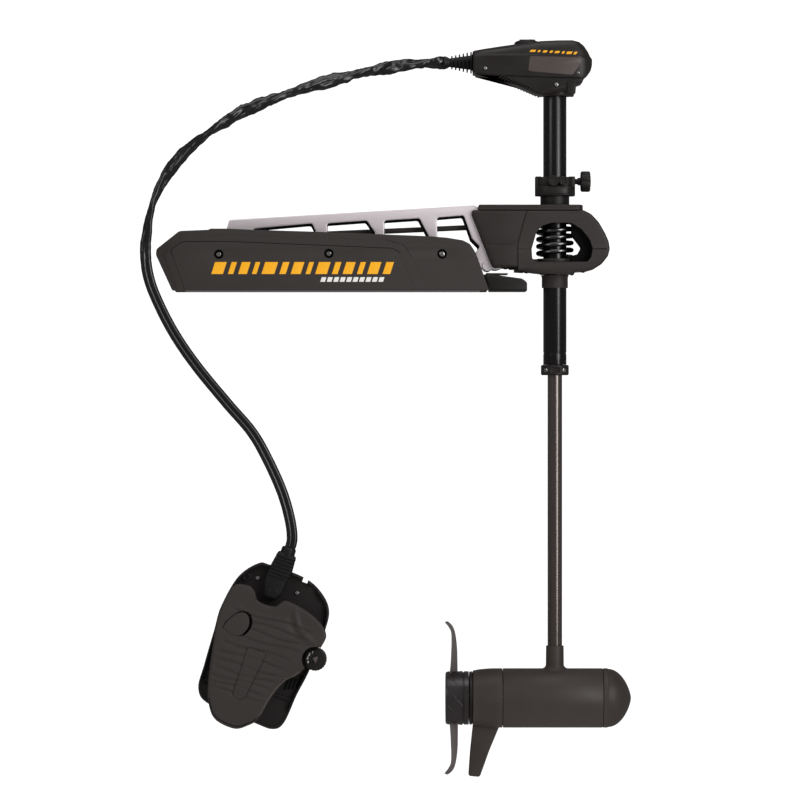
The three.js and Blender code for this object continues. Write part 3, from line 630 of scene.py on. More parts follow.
def make_side_plate(side, name):
    """Moulded plate with two raised steps, cupped screws and its printed pattern."""
    holes = [ellipse(at, SCREW_ROOM, SCREW_ROOM, 40) for at in SIDE_SCREWS]
    outline = rounded(SIDE_OUTLINE, SIDE_FILLETS, 6)
    turn = to_side(side)
    body = upright(outline, -MOUNT_HALF, -PLATE_INSIDE, 2.4, holes, bevel_low=0.6, hole_bevel=1.2)
    first = upright(rounded(STEP_ONE, 9, 6), -MOUNT_HALF - 1, -MOUNT_HALF + 1, 0.9, holes[:2],
                    hole_bevel=0.5)
    second = upright(rounded(STEP_TWO, 7, 6), -MOUNT_HALF - 2.2, -MOUNT_HALF, 1.1, holes[:2],
                     hole_bevel=0.8)
    piece("skin_" + name, moved(merged(body, first, second), turn), "moulding", "mount", name)
    # Thin near-black lines along the raised steps' edges: painted shade under the steps.
    lines = []
    for step, proud, thick, low in ((STEP_ONE, 0.1, 0.5, 70), (STEP_TWO, 1.1, 0.8, -300)):
        edge = [(x, -MOUNT_HALF - proud, z) for x, z in rounded(step, 9, 6) if z > 24 and x > low]
        lines.append(swept(edge, thick, 8))
    piece("step_edge_shade_lines_" + name, moved(merged(*lines), turn), "painted_shade", "mount")
    # The cups round the screws are near-black: painted shade inside the screw wells; the screw heads
    # are steel.
    cups, heads = [], []
    for x, z in SIDE_SCREWS:
        cup = [(0, 0), (SCREW_ROOM - 0.1, 0), (SCREW_ROOM - 0.1, 6), (SCREW_ROOM - 1.4, 6),
               (SCREW_ROOM - 2.2, 1.5), (0, 1.5)]
        cups.append(lathed(cup, (0, -1, 0), (x, -PLATE_INSIDE - 0.2, z), 40))
        heads.append(screw_head((x, -PLATE_INSIDE - 1.6, z), 5.4, height=3.6))
    piece("screw_well_shade_" + name, moved(merged(*cups), turn), "painted_shade", "mount")
    piece("screws_" + name, moved(merged(*heads), turn), "steel", "mount")
    make_graphics(side, MOUNT_HALF + 2.2)


CHANNEL_BOLTS = [(x, side * 30) for x in (-246, -120, 40, 200) for side in (-1, 1)]


def make_ramp():
    wedge = rounded([(272, 0), (263, 28), (330, 19.5), (336, 14), (336, 0)], [1, 3, 5, 5, 1])
    half = PLATE_INSIDE - 0.3
    body = upright(wedge, -half, half, 2.0)
    ribs = []
    for k in range(7):
        y = -42 + 14 * k
        ribs.append(upright([(276, 20), (268, 29.4), (328, 21.2), (330, 16)], y - 1.2, y + 1.2, 0.6))
    lip = rounded([(262, 24), (262, 28.3), (300, 23.6), (300, 20)], 1)
    lip = upright(lip, -half + 4, half - 4, 0.8)
    piece("motor_ramp_moulding", merged(body, *ribs, lip), "black", "mount", "motor_ramp")
    bar = rounded([(266, 28.4), (266, 31.3), (304, 31.3), (304, 28.4)], 1.3, 4)
    piece("rest_bar_strip", upright(bar, -26, 26, 0.9), "steel", "mount", "rest_bar")
    washer = [(0, 0), (8, 0), (8.5, 1), (8.5, 2.4), (0, 2.4)]
    pads = [lathed(washer, (0, 0, 1), (x, y, 5), 32, 0.5) for x, y in CHANNEL_BOLTS]
    piece("channel_bolt_washers", merged(*pads), "steel", "mount")
    bolts = [screw_head((x, y, 7.2), 5.2, (0, 0, 1), 4) for x, y in CHANNEL_BOLTS]
    piece("channel_bolts", merged(*bolts), "steel", "mount")


make_side_plate(-1, "side_plate_near")
make_side_plate(1, "side_plate_far")
make_ramp()

# ---- Lift arm and link ----------------------------------------------------------------------------

ARM_INSIDE = 24
ARM_OUTSIDE = 32
ARM_WINDOWS = [
    [(-136, 72), (-132, 107), (-32, 116), (-26, 103), (-30, 66)],
    [(-6, 66), (-6, 116), (62, 121), (76, 100), (72, 62)],
    [(92, 60), (92, 121), (152, 125), (168, 94), (162, 54)],
    [(184, 54), (182, 126), (228, 130), (242, 90), (256, 76), (240, 56)],
]


def make_arm(side, name):
    """Lattice plate with its bosses, and near-black lips inside its windows: painted shade on the
    window walls.
    """
    outline = [
        *arc(ARM_PIVOT, 20, 150, 262, 10), (-100, 56), (150, 40), *arc(KNEE_PIVOT, 18, 235, 372, 14),
        (258, 100), (252, 144), (246, 147), (-174, 122), (-178, 108),
    ]
    fillets = [0] * 11 + [6, 20] + [0] * 15 + [10, 3, 4, 5, 4]
    holes = [rounded(w, 5, 5) for w in ARM_WINDOWS]
    turn = to_side(side)
    body = upright(rounded(outline, fillets), -ARM_OUTSIDE, -ARM_INSIDE, 1.6, holes, hole_bevel=3.0,
                   bevel_low=0.8)
    boss = lathed([(8, 0), (14, 0), (14, 2.2), (12.6, 3), (8, 3), (8, 0)], (0, -1, 0),
                  (ARM_PIVOT[0], -ARM_OUTSIDE + 1, ARM_PIVOT[1]), 48, 0.5)
    eye = lathed([(0, 0), (9.5, 0), (9.5, 1.4), (8.7, 2), (6.6, 2), (6, 1.3), (0, 1.3)], (0, -1, 0),
                 (268.5, -ARM_OUTSIDE + 0.8, 43.5), 40, 0.3)
    piece("skin_" + name, moved(merged(body, boss, eye), turn), "arm", "lift_arm", name)
    # Near-black lips round each window: painted shade where the window walls fall in shadow.
    window_shade_rings = []
    for window in ARM_WINDOWS:
        cx = sum(x for x, z in window) / len(window)
        cz = sum(z for x, z in window) / len(window)
        wide = max(abs(x - cx) for x, z in window)
        tall = max(abs(z - cz) for x, z in window)
        outer = [(cx + (x - cx) * (1 + 2.6 / wide), cz + (z - cz) * (1 + 2.6 / tall))
                 for x, z in window]
        inner = rounded([(x - 2.6, z - 3) for x, z in window], 5, 5)
        window_shade_rings.append(upright(rounded(outer, 5, 5), -ARM_INSIDE + 0.1, -ARM_INSIDE + 2.6, 0.3,
                               [inner]))
    piece("window_shade_lining_" + name, moved(merged(*window_shade_rings), turn), "painted_shade", "lift_arm")


def make_link():
    slope = math.atan2(LINK_END[1] - LINK_PIVOT[1], LINK_END[0] - LINK_PIVOT[0])
    tilt = math.degrees(slope)
    outline = arc(LINK_PIVOT, 7.5, tilt + 90, tilt + 350, 24)
    outline += arc(LINK_END, 7.5, tilt - 170, tilt + 90, 24)
    hole = ellipse(LINK_PIVOT, 4.8, 4.8, 32)
    bar = upright(outline, -6, 6, 1.8, [hole], hole_bevel=0.5)
    pin = lathed([(0, -20), (5, -20), (5, 20), (0, 20)], (0, 1, 0), (LINK_END[0], 0, LINK_END[1]),
                 32, 0.8)
    piece("support_link_bar", merged(bar, pin), "cast", "link", "support_link")


def make_caps():
    ends = []
    for side in (-1, 1):
        ends.append(lathed([(0, 0), (9.5, 0), (9.5, 2), (8, 3.4), (0, 3.8)], (0, side, 0),
                           (ARM_PIVOT[0], side * 32.4, ARM_PIVOT[1]), 40, 0.6))
    piece("arm_pivot_caps", merged(*ends), "steel", "mount")


make_arm(-1, "lift_arm_near")
make_arm(1, "lift_arm_far")
make_link()
make_caps()

# ---- Bow bracket ----------------------------------------------------------------------------------

def make_bracket():
    outline = [(240, 132), (277, 39), (340, 42), (340, 80), (356, 138.7), (243, 138.7)]
    outline = rounded(outline, [10, 8, 8, 8, 8, 8], 6)
    cheeks = [on_side(outline, side, 34, 42, 5, 0.6) for side in (-1, 1)]
    web = upright(rounded([(302.4, 41), (318, 42), (320.4, 80), (336, 138.4), (258.4, 138.4),
                           (258.4, 128.4), (306, 128.4), (306, 60)], 2), -35, 35, 0.4)
    panels = []
    for side in (-1, 1):
        upper = rounded([(246, 131), (266, 80.5), (310, 80), (319.5, 90), (333.4, 135.5), (246, 135.5)],
                        [6, 3, 12, 12, 4, 4], 5)
        lower = rounded([(268, 76.5), (281, 43.5), (315.5, 43.5), (317.6, 76.5)], 3, 4)
        panels += [on_side(face, side, 41.6, 43.1, 1.0) for face in (upper, lower)]
    knuckles = []
    for side in (-1, 1):
        y0, y1 = sorted((side * 15.5, side * 26.5))
        ring = [(3.8, y0), (7.5, y0), (7.5, y1), (3.8, y1), (3.8, y0)]
        knuckles.append(lathed(ring, (0, 1, 0), (GUARD_HINGE[0], 0, GUARD_HINGE[1]), 40, 0.5))
        knuckles.append(upright([(315, 33), (331, 32), (331, 46), (315, 46)], y0, y1, 0.6))
    front = upright([(319.9, 20), (319.9, 80.2), (336.2, 141), (380, 141), (380, 20)], -60, 60, 0)
    for side, cheek in zip(("near", "far"), cheeks):
        carve(piece("bracket_cheek_" + side, cheek, "cast", "bracket"), front)
    piece("bracket_casting", merged(web, *panels, *knuckles), "cast", "bracket", "bow_bracket")
    knobs = []
    for x, z, r in ((300, 38.5, 5), (310, 37.5, 6), (284, 37.5, 4)):
        knob = [(0, 0), (r, 0), (r, 3), (r * 0.6, 5), (0, 5)]
        knobs.append(lathed(knob, (0, 0, -1), (x, -18, z + 4), 32))
    piece("bracket_lower_plugs", merged(*knobs), "black", "bracket")
    # A near-black strip in the seam between bracket and guard: painted shade in the groove there.
    seam = [(317.6, 46), (320.4, 46), (320.5, 80), (336.8, 136.5), (334.4, 136.5), (318.4, 80)]
    piece("bracket_seam_shade", upright(seam, -39, 39, 0.3), "painted_shade", "bracket")


SPRING_R = 28.6
SPRING_WIRE = 4.0
SPRING_LOW = 59.3
SPRING_HIGH = 113.7
SPRING_TURNS = 4.5


def make_spring():
    """Coil of even pitch round the shaft, and the spring seat below it with its tongue."""
    steps = 60
    count = round(SPRING_TURNS * steps)
    path = []
    for k in range(count + 1):
        turn = SPRING_TURNS * k / count
        a = 2 * math.pi * turn
        rise = SPRING_LOW + (SPRING_HIGH - SPRING_LOW) * k / count
        path.append((SHAFT_X + SPRING_R * math.cos(a), SPRING_R * math.sin(a), rise))
    coil = piece("breakaway_coil", swept(path, SPRING_WIRE, 18), "spring", "bracket",
                 "breakaway_spring", sharp=60, ride=False)
    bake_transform(coil)
    ring = [(27.7, 50.4), (31.6, 50.4), (31.6, 56.2), (27.7, 56.2), (27.7, 50.4)]
    seat = about_shaft(ring, 72, 0.8)
    tongue = box((320, -13, 50.5), (358, 13, 55.4), 1)
    piece("spring_seat_casting", merged(seat, tongue), "cast", "bracket", "spring_seat")


make_bracket()
make_spring()

# ---- Bow guard ------------------------------------------------------------------------------------

WINDOW = [
    (344, 72), (352, 100), (362, 112), (378, 117), (412, 117), (430, 106), (444, 88), (449, 72),
    (446, 58), (440, 50), (350, 50), (345, 56),
]
GUARD_OUTLINE = [
    (300, 81), (316, 138.7), (433, 138.7), (446, 132), (459, 118), (470, 99), (476, 85),
    (478, 72), (475, 60), (464, 46), (451, 38), (437, 34), (422, 33.5), (407, 28), (362, 30),
    (345, 32), (330, 34), (300, 36), (300, 64),
]
GUARD_FILLETS = [8, 8, 12, 22, 22, 22, 16, 14, 14, 18, 20, 20, 14, 14, 14, 14, 9, 9, 9]
GUARD_BACK = [(280, 20), (321, 20), (321, 80.3), (337.3, 141), (337.3, 150), (280, 150)]
PARTING_Z = 72


def make_guard():
    opening = rounded(WINDOW, [10, 10, 10, 10, 12, 12, 12, 10, 6, 8, 8, 6], 5)
    room = about_shaft([(0, 47), (35, 47), (35, 121), (0, 121)], 64)
    bore = about_shaft([(0, -20), (TUBE_ROOM, -20), (TUBE_ROOM, 220), (0, 220)], 64)
    hole = upright(opening, -60, 60, 0)
    shell = upright(rounded(GUARD_OUTLINE, GUARD_FILLETS, 8), -GUARD_HALF, GUARD_HALF, 5,
                    bevel_low=5)
    back = upright(GUARD_BACK, -60, 60, 0)
    below = box((300, -60, 0), (500, 60, PARTING_Z + 0.3), 0)
    above = box((300, -60, PARTING_Z - 0.3), (500, 60, 200), 0)
    # A near-black ring inside the window: painted shade on the window's inner walls.
    inner = rounded([(343.5, 80), (353, 102.5), (362, 112), (394, 114), (405, 107), (429.7, 75),
                     (424, 64), (411, 60), (353, 59)], [4, 6, 8, 8, 10, 5, 6, 6, 6], 5)
    outer = rounded([(x + (2 if x > 400 else -2), z + (1.5 if z > 60 else -1.5)) for x, z in WINDOW],
                    [10, 10, 10, 10, 12, 12, 12, 10, 6, 8, 8, 6], 5)
    liner = piece("guard_window_shade_liner", upright(outer, -22, 22, 1.5, [inner], hole_bevel=3), "painted_shade",
                  "guard")
    liner_room = about_shaft([(0, 47), (36, 47), (36, 119), (0, 119)], 64)
    carve(liner, liner_room, box((300, -60, 0), (353, 60, 90), 0))
    # The parting groove as a near-black line: painted shade in the groove.
    parting = [(451, -GUARD_HALF - 0.1, PARTING_Z), (472, -GUARD_HALF - 0.1, PARTING_Z)]
    piece("guard_parting_groove_shade", swept(parting, 0.6, 8), "painted_shade", "guard")
    top = piece("guard_upper_shell", shell, "cast", "guard", "guard_upper_casting")
    carve(top, below, back, hole, room, bore)
    base = piece("guard_lower_shell", shell, "cast", "guard", "guard_lower_casting")
    rooms = []
    for side in (-1, 1):
        y0, y1 = sorted((side * 14.8, side * 27.2))
        rooms.append(upright(ellipse(GUARD_HINGE, 8.6, 8.6, 32), y0, y1, 0))
        rooms.append(upright([(300, 15), (337, 15), (337, 50), (300, 50)], y0, y1, 0))
    slot = box((305, -14.5, 44), (353, 14.5, 80), 0)
    carve(base, above, back, hole, room, bore, *rooms, slot)
    plate_out = rounded([(253, -42), (424, -42), (432, -34), (432, 34), (424, 42), (253, 42)],
                        [6, 9, 9, 9, 9, 6], 6)
    plate = extruded(plate_out, PLATE_BOTTOM + 3, PLATE_TOP, 2.6, [TUBE_HOLE], hole_bevel=0.6)
    edge = extruded([(x, y * 0.985) for x, y in plate_out], PLATE_BOTTOM, PLATE_TOP - 3, 0.6,
                    [TUBE_HOLE])
    piece("guard_plate_cover", merged(plate, edge), "cast", "guard", "guard_top_plate")
    sleeve = [(TUBE_ROOM, 6), (22.5, 6), (22.5, 24), (24, 27.6), (TUBE_ROOM, 27.6), (TUBE_ROOM, 6)]
    piece("lower_sleeve_ring", about_shaft(sleeve, 72, 0.6), "cast", "guard",
          "lower_sleeve")
    plugs = []
    for x, z, r in ((328, 36, 5), (349, 33.5, 4.5), (362, 31, 5.5), (413, 30, 4), (432, 34.5, 4)):
        plugs.append(lathed([(0, 0), (r, 0), (r, 3), (r - 1.4, 4.4), (0, 4.4)], (0, -0.3, -1),
                            (x, -33, z + 1.5), 32))
    piece("guard_lower_bosses", merged(*plugs), "black", "guard")


def make_collar():
    """Split clamp block above the guard, with two round bosses in front and a band below them."""
    foot = about_shaft([(TUBE_ROOM, 148.3), (25, 148.3), (25, 166), (TUBE_ROOM, 166),
                        (TUBE_ROOM, 148.3)], 72, 0.6)
    outline = spline([(351, 0), (355, -22), (370, -32), (400, -32), (415, -22), (419, 0), (412, 24),
                      (385, 31), (358, 24)], 8)
    block = extruded(outline, 164, 180, 1.6, [TUBE_HOLE], hole_bevel=0.6)
    back = spline([(352, 6), (356, -14), (371, -23), (399, -23), (413, -14), (418, 6), (412, 24),
                   (385, 31), (358, 24)], 8)
    upper = extruded(back, 178, 196.5, 1.6, [TUBE_HOLE], hole_bevel=0.6)
    lug = [box((x0, -14, 163.8), (x1, 14, 197.4), 1.6) for x0, x1 in ((351, 362), (408, 419.5))]
    bosses = []
    for x, r in ((381.5, 9.2), (398.5, 8)):
        bosses.append(lathed([(0, 0), (r, 0), (r, 11.5), (r - 2, 12.8), (r - 3.6, 11.2), (0, 11.2)],
                             (0, -1, 0), (x, -23, 189), 40, 0.5))
    strap = extruded(spline([(355, -6), (360, -27), (374, -34.4), (397, -34.4), (411, -27), (416, -6),
                             (398, -25), (373, -25)], 8), 166.5, 177, 1.2)
    piece("depth_collar_clamp", merged(foot, block, upper, *lug, *bosses, strap), "black", "guard",
          "depth_collar")


def make_depth_knob():
    lobes = []
    for k in range(96):
        a = 2 * math.pi * k / 96
        r = 15.4 + 2.4 * abs(math.cos(3 * a)) ** 0.8
        lobes.append((r * math.cos(a), r * math.sin(a)))
    grip = moved(extruded(lobes, 429, 446, 3.4), axis_frame((1, 0, 0), (0, 0, KNOB_Z)))
    screw = along_x([(0, 407), (4.7, 407), (4.7, 424), (6.6, 424), (6.6, 430), (0, 430)],
                    KNOB_Z, 40, 0.4)
    cap = along_x([(0, 445), (8, 445), (8, 446.6), (0, 447)], KNOB_Z, 40, 0.5)
    piece("depth_knob_grip", merged(grip, screw, cap), "black", "depth_knob", "depth_knob")


make_guard()
make_collar()
make_depth_knob()

# ---- Tube and head --------------------------------------------------------------------------------

def make_tube():
    wall = [(17, -126), (20, -126), (20, -108), (19.4, -107.4), (19.4, -105), (20, -104.4), (20, 352),
            (17, 352), (17, -126)]
    piece("outer_tube_skin", about_shaft(wall, 96, 0.4), "tube", "tube",
          "outer_tube")
    clamp = [(13.1, -144), (22.4, -144), (24, -142), (24, -128), (22.6, -126.3), (13.1, -126.3),
             (13.1, -144)]
    ring = piece("tube_clamp_ring", about_shaft(clamp, 96, 0.6), "black",
                 "tube", "tube_clamp")
    carve(ring, box((376, -40, -140), (394, -21, -130), 0.8))
    heads = []
    for degrees in (-133, -49, 60, 130):
        a = math.radians(degrees)
        out = (math.cos(a), math.sin(a), 0)
        at = (SHAFT_X + 23.4 * out[0], 23.4 * out[1], -135.5)
        heads.append(screw_head(at, 3.9, out, 1.6))
    piece("tube_clamp_screws", merged(*heads), "steel", "tube")


def make_head():
    half = HEAD_HALF
    stations = [  # x, top, crease, underside, half width
        (244, 412.5, 402, 374, 37), (247, 413.4, 403, 373, 40), (262, 416, 404, 372, half - 0.4),
        (290, 420.3, 404.5, 370.5, half), (316, 424, 405, 369, half), (340, 426.8, 405, 367.8, half),
        (361, 429.6, 405, 367.2, half), (390, 430.8, 405, 366.7, half), (414, 431, 404, 366.2, half),
        (426, 428, 403, 366, half - 0.8), (434, 421.5, 401, 366, 38.8), (441, 412, 399, 371.5, 34),
        (446, 402.5, 397, 378.5, 27), (448.4, 399, 396, 388, 18),
    ]
    rings = []
    for x, top, crease, under, wide in stations:
        near = [(wide - 3, under), (wide, under + 3), (wide, crease - 4), (wide - 0.8, crease),
                (wide - 4.6, (crease + top) / 2 + 1), (wide - 10, top - 3.4), (wide - 16, top - 0.7)]
        near = [near[0]] + [q[:2] for q in spline(near, 3, closed=False)][1:] + [(wide * 0.2, top)]
        ring = [(x, -y, z) for y, z in near] + [(x, y, z) for y, z in reversed(near)]
        rings.append(ring)
    shell = piece("head_shell", lofted(rings), "head", "tube", "head_cover", sharp=30)
    seat = lathed([(0, 423.7), (22.6, 423.7), (22.6, 450), (0, 450)], (0, 0, 1), (DIAL_X, 0, 0), 64)
    inside = box((300, -36, 340), (428, 36, 416), 1)
    pipe = along_x([(0, 230), (11, 230), (11, 310), (0, 310)], CABLE_Z, 40)
    post = lathed([(0, 400), (4.6, 400), (4.6, 440), (0, 440)], (0, 0, 1), (DIAL_X, 0, 0), 32)
    carve(shell, seat, post, inside, pipe)
    # Lighter panels on the head's sides: painted highlight where a facet catches the light.
    face = rounded([(341, 402), (427, 400), (430, 393), (414, 369.5), (338, 376.5)],
                   [3, 6, 6, 5, 4], 5)
    facets = [on_side(face, side, half - 1, half + 0.45, 0.4) for side in (-1, 1)]
    piece("head_side_highlight_panels", merged(*facets), "facet", "tube")
    marks = []
    for turn in (1, -1):
        for k, wide in enumerate((9, 4, 7, 5, 8, 4, 9, 5)):
            z = 410.6 - 0.5 * k
            face = half + 0.3 - 0.31 * (z - 403.5)
            near, far = sorted((-turn * (face - 3), -turn * face))
            marks.append(upright(slanted_bar(346 + k * 10.4, z, wide, 4.4, 0.6), near, far, 0.1))
    piece("head_dashes", merged(*marks), "yellow", "tube")

    outline = [(246, 376), (335, 371), (436, 369), (431, 357), (420, 353), (418, 346), (362, 336),
               (350, 339), (284, 368.4), (250, 371.4)]
    lower = upright(rounded(outline, [3, 20, 5, 6, 4, 4, 4, 10, 20, 3], 5), -37, 37, 5, bevel_low=5)
    barrel = lathed([(0, 335.5), (26, 335.5), (28, 337), (28, 360), (26, 364), (0, 364)], (0, 0, 1),
                    (390, 0, 0), 72, 1)
    socket = about_shaft([(0, 320), (TUBE_ROOM, 320), (TUBE_ROOM, 352.3), (13.3, 352.3),
                          (13.3, 390), (0, 390)], 64)
    housing = piece("head_lower_shell", lower, "head", "tube", "head_housing")
    carve(housing, socket)
    carve(piece("head_barrel", barrel, "head", "tube"), socket)
    ribs = []
    for k in range(15):
        x = 287 + k * 4.9
        z = 364.5 - k * 2.05
        for y in (-38.6, 35.6):
            ribs.append(upright([(x, z + 1), (x + 2, z - 0.4), (x + 10.5, z + 5.4), (x + 8.5, z + 6.4)],
                                y, y + 3, 0.5))
    piece("head_ribs", merged(*ribs), "black", "tube")
    tab = [upright(rounded([(406, 337), (419, 337), (420.5, 356), (404, 358)], 3), y, y + 4, 1)
           for y in (-40, 36)]
    piece("head_clamp_tabs", merged(*tab), "black", "tube")
    heads = [screw_head((386.5, -38.4, 353), 3.6, height=2.4)]
    heads.append(screw_head((424, -41.2, 373), 2.4, height=1.6))
    heads.append(screw_head((265, -41.8, 381), 2.8, height=1.4))
    heads += [moved(h, Matrix.Scale(-1, 4, (0, 1, 0))) for h in heads[:2]]
    piece("head_screws", merged(*heads), "steel", "tube")


def make_boot():
    """Bellows strain relief: thin flanges on a cone that widens towards the head."""
    profile = [(9.6, 194), (11, 194), (11.4, 196), (8.6, 202)]
    for k in range(6):
        x = 204 + k * 6.6
        base = 7.6 + k * 0.9
        rim = 11.4 + k * 1.45
        profile += [(base, x), (base + 0.2, x + 2.4), (rim, x + 2.7), (rim + 0.2, x + 5),
                    (base + 0.8, x + 5.3)]
    profile += [(18.5, 243.9), (6, 243.9), (6, 201), (9.6, 201), (9.6, 194)]
    piece("cable_boot_bellows", along_x(profile, CABLE_Z, 64), "rubber", "tube", "cable_boot", sharp=50)


def make_indicator():
    dome = [(0, 392), (4, 392), (4, 424), (21, 424), (22, 425.3), (21.2, 428), (18, 430.4),
            (11, 432.4), (0, 433)]
    cap = lathed(dome, (0, 0, 1), (DIAL_X, 0, 0), 72, 0.8)
    piece("indicator_dome", cap, "black", "indicator", "direction_indicator")
    arrow = rounded([(DIAL_X + 15, 0), (DIAL_X + 4, 8), (DIAL_X + 4, 3), (DIAL_X - 13, 3),
                     (DIAL_X - 13, -3), (DIAL_X + 4, -3), (DIAL_X + 4, -8)], 1, 3)
    piece("indicator_arrow", extruded(arrow, 431.4, 433.4, 0.5), "panel", "indicator")


make_tube()
make_head()
make_boot()
make_indicator()

# ---- Inner shaft, motor and propeller -------------------------------------------------------------

def make_shaft():
    wall = [(10, -618), (12.5, -618), (12.5, 366), (10, 366), (10, -618)]
    piece("inner_shaft_skin", about_shaft(wall, 80, 0.3), "shaft",
          "lower_unit", "inner_shaft")
    collar = [(12.7, -609), (15.2, -609), (15.5, -640), (15.5, -690), (0, -690), (0, -625),
              (12.7, -625), (12.7, -609)]
    saddle = piece("shaft_saddle_casting", about_shaft(collar, 72, 1.5), "motor",
                   "lower_unit", "shaft_saddle")
    barrel = along_x([(0, 200), (MOTOR_R + 0.1, 200), (MOTOR_R + 0.1, 520), (0, 520)], MOTOR_Z, 96)
    carve(saddle, barrel)
    rings = []
    for k in range(9):
        t = k / 8
        reach = 15.6 + 8.4 * t * t
        ring = []
        for i in range(48):
            a = 2 * math.pi * i / 48
            y = reach * math.sin(a)
            rest = math.sqrt((MOTOR_R - 0.4) ** 2 - y * y)
            ring.append((SHAFT_X + reach * math.cos(a), y, MOTOR_Z + rest + 7 * (1 - t) ** 1.5))
        rings.append(ring)
    piece("saddle_fillet", lofted(rings), "motor", "lower_unit", sharp=60)


def make_motor():
    housing = [(46, 295.5), (50.4, 295.5), (51, 296.4), (51, 465.8), (50.4, 466.7), (46, 466.7),
               (46, 295.5)]
    piece("motor_barrel", along_x(housing, MOTOR_Z, 112), "motor", "lower_unit", "motor_housing")
    tail = [(11.5, 243), (44, 243), (47.3, 244.5), (49.3, 255), (50.6, 270), (51, 280), (51, 293.6),
            (50.2, 294.6), (40, 295), (38, 273), (11.5, 273), (11.5, 243)]
    piece("motor_tail", along_x(tail, MOTOR_Z, 112), "motor", "lower_unit", "tail_housing")
    nose = [(0, 481), (14, 481), (14, 467.4), (50.2, 467.4), (51, 468.4), (51, 475), (50.4, 475.8),
            (50.1, 476.6)]
    for k in range(1, 17):
        a = math.pi / 2 * k / 16
        nose.append((50 * math.cos(a) ** 1.35 if k < 16 else 0, 476.6 + 39.4 * math.sin(a)))
    piece("motor_nose", along_x(nose, MOTOR_Z, 112), "motor", "lower_unit", "nose_cone", sharp=30)
    outline = rounded([(244, -742), (277, -742), (292, -742), (272, -790), (256, -835),
                       (236, -833), (239, -790)], [4, 3, 4, 40, 6, 5, 40], 8)
    room = along_x([(0, 200), (43.6, 242.4), (47.5, 244.4), (49.5, 255), (50.8, 270), (51.1, 280),
                    (51.1, 520), (0, 520)], MOTOR_Z, 96)
    fin = upright(outline, -3.4, 3.4, 2.2, bevel_low=2.2)
    carve(piece("skeg_fin", fin, "motor", "lower_unit", "skeg"), room)


BLADE_STATIONS = [  # radius, chord, thickness, pitch in degrees, rake, sweep
    (34, 34, 7.5, 26, -2.4, 0), (46, 46, 6.4, 17, -2.2, 1), (62, 60, 5.4, 11.5, -2.2, 2),
    (82, 72, 4.6, 8.5, -2.4, 2), (100, 72, 4.2, 6.5, -2.6, 0), (114, 60, 4.2, 6, -3.4, -3),
    (123, 48, 4.2, 8, -6.4, -6), (128, 38, 3.8, 10, -9.6, -8), (131.6, 26, 3, 12, -12.4, -9),
]


def blade(side):
    """Weedless blade: cupped sections that pitch less, rake aft and sweep back towards the tip."""
    rings = []
    for radius, chord, thick, pitch, rake, sweep in spline(BLADE_STATIONS, 4, closed=False):
        a = math.radians(pitch)
        ring = []
        for k in range(28):
            turn = 2 * math.pi * k / 28
            along = chord / 2 * math.cos(turn) + sweep
            across = thick / 2 * math.sin(turn) * (0.65 + 0.35 * math.cos(turn))
            cup = 0.0016 * (along - sweep) ** 2
            x = 212 + rake + along * math.sin(a) + (across + cup) * math.cos(a)
            y = side * (along * math.cos(a) - (across + cup) * math.sin(a))
            ring.append((x, y, MOTOR_Z + side * radius))
        rings.append(ring)
    return lofted(rings)


def make_propeller():
    hub = [(6.3, 206), (33, 206), (38, 199), (41.5, 196.8), (44.3, 197.6), (45, 199.5), (45.8, 226),
           (44.4, 227), (44.4, 228), (45.9, 229), (45.9, 236.2), (45.2, 236.8), (36, 236.8), (34, 229),
           (12, 229), (12, 237), (6.3, 237), (6.3, 206)]
    piece("propeller_hub", along_x(hub, MOTOR_Z, 96), "prop", "rotor", "propeller", sharp=45)
    # The blades take the lighter blade plastic: painted light.
    piece("propeller_blades", merged(blade(1), blade(-1)), "blade", "rotor", sharp=45)
    flutes = []
    for k in range(10):
        path = []
        for i in range(13):
            t = i / 12
            a = math.radians(36 * k + 15 + 34 * t)
            r = 44.6 + 0.8 * t
            path.append((201 + 24 * t, r * math.cos(a), MOTOR_Z + r * math.sin(a)))
        flutes.append(swept(path, 1.1, 10))
    piece("hub_flutes", merged(*flutes), "prop", "rotor")
    nut_outline = [(9 * math.cos(math.pi / 3 * k), 9 * math.sin(math.pi / 3 * k)) for k in range(6)]
    nut = extruded(rounded(nut_outline, 1), 198, 206, 1, [ellipse((0, 0), 5.6, 5.6, 32)])
    nut = moved(nut, axis_frame((1, 0, 0), (0, 0, MOTOR_Z)))
    piece("propeller_nut", nut, "black", "rotor", "prop_nut")
    guard = [(12.5, 237.6), (42, 237.6), (44.8, 237.8), (45.6, 238.6), (45.8, 242.6), (12.5, 242.6),
             (12.5, 237.6)]
    piece("line_guard_ring", along_x(guard, MOTOR_Z, 96, 0.3), "black", "lower_unit")


def make_armature_shaft():
    ends = [(0, 199.6), (4.2, 199.6), (5, 200.4), (5, 466), (0, 466)]
    piece("armature_shaft_steel", along_x(ends, MOTOR_Z, 48, 0.3), "steel", "rotor", "armature_shaft")


make_shaft()
make_motor()
make_propeller()
make_armature_shaft()

# ---- Foot pedal -----------------------------------------------------------------------------------
# Built flat: x across, y towards the toe, z out of the tread, the rocker pin at 0.

LEAN = math.radians(PEDAL_LEAN)
PEDAL = Matrix((
    (math.cos(LEAN), math.sin(LEAN), 0, PEDAL_AT[0]),
    (0, 0, -1, PEDAL_AT[1]),
    (-math.sin(LEAN), math.cos(LEAN), 0, PEDAL_AT[2]),
    (0, 0, 0, 1),
))


def pedal_piece(name, shape, look, body, *nodes):
    """A piece whose shape is given in the pedal's own flat frame."""
    return piece(name, moved(shape, PEDAL), look, body, *nodes)


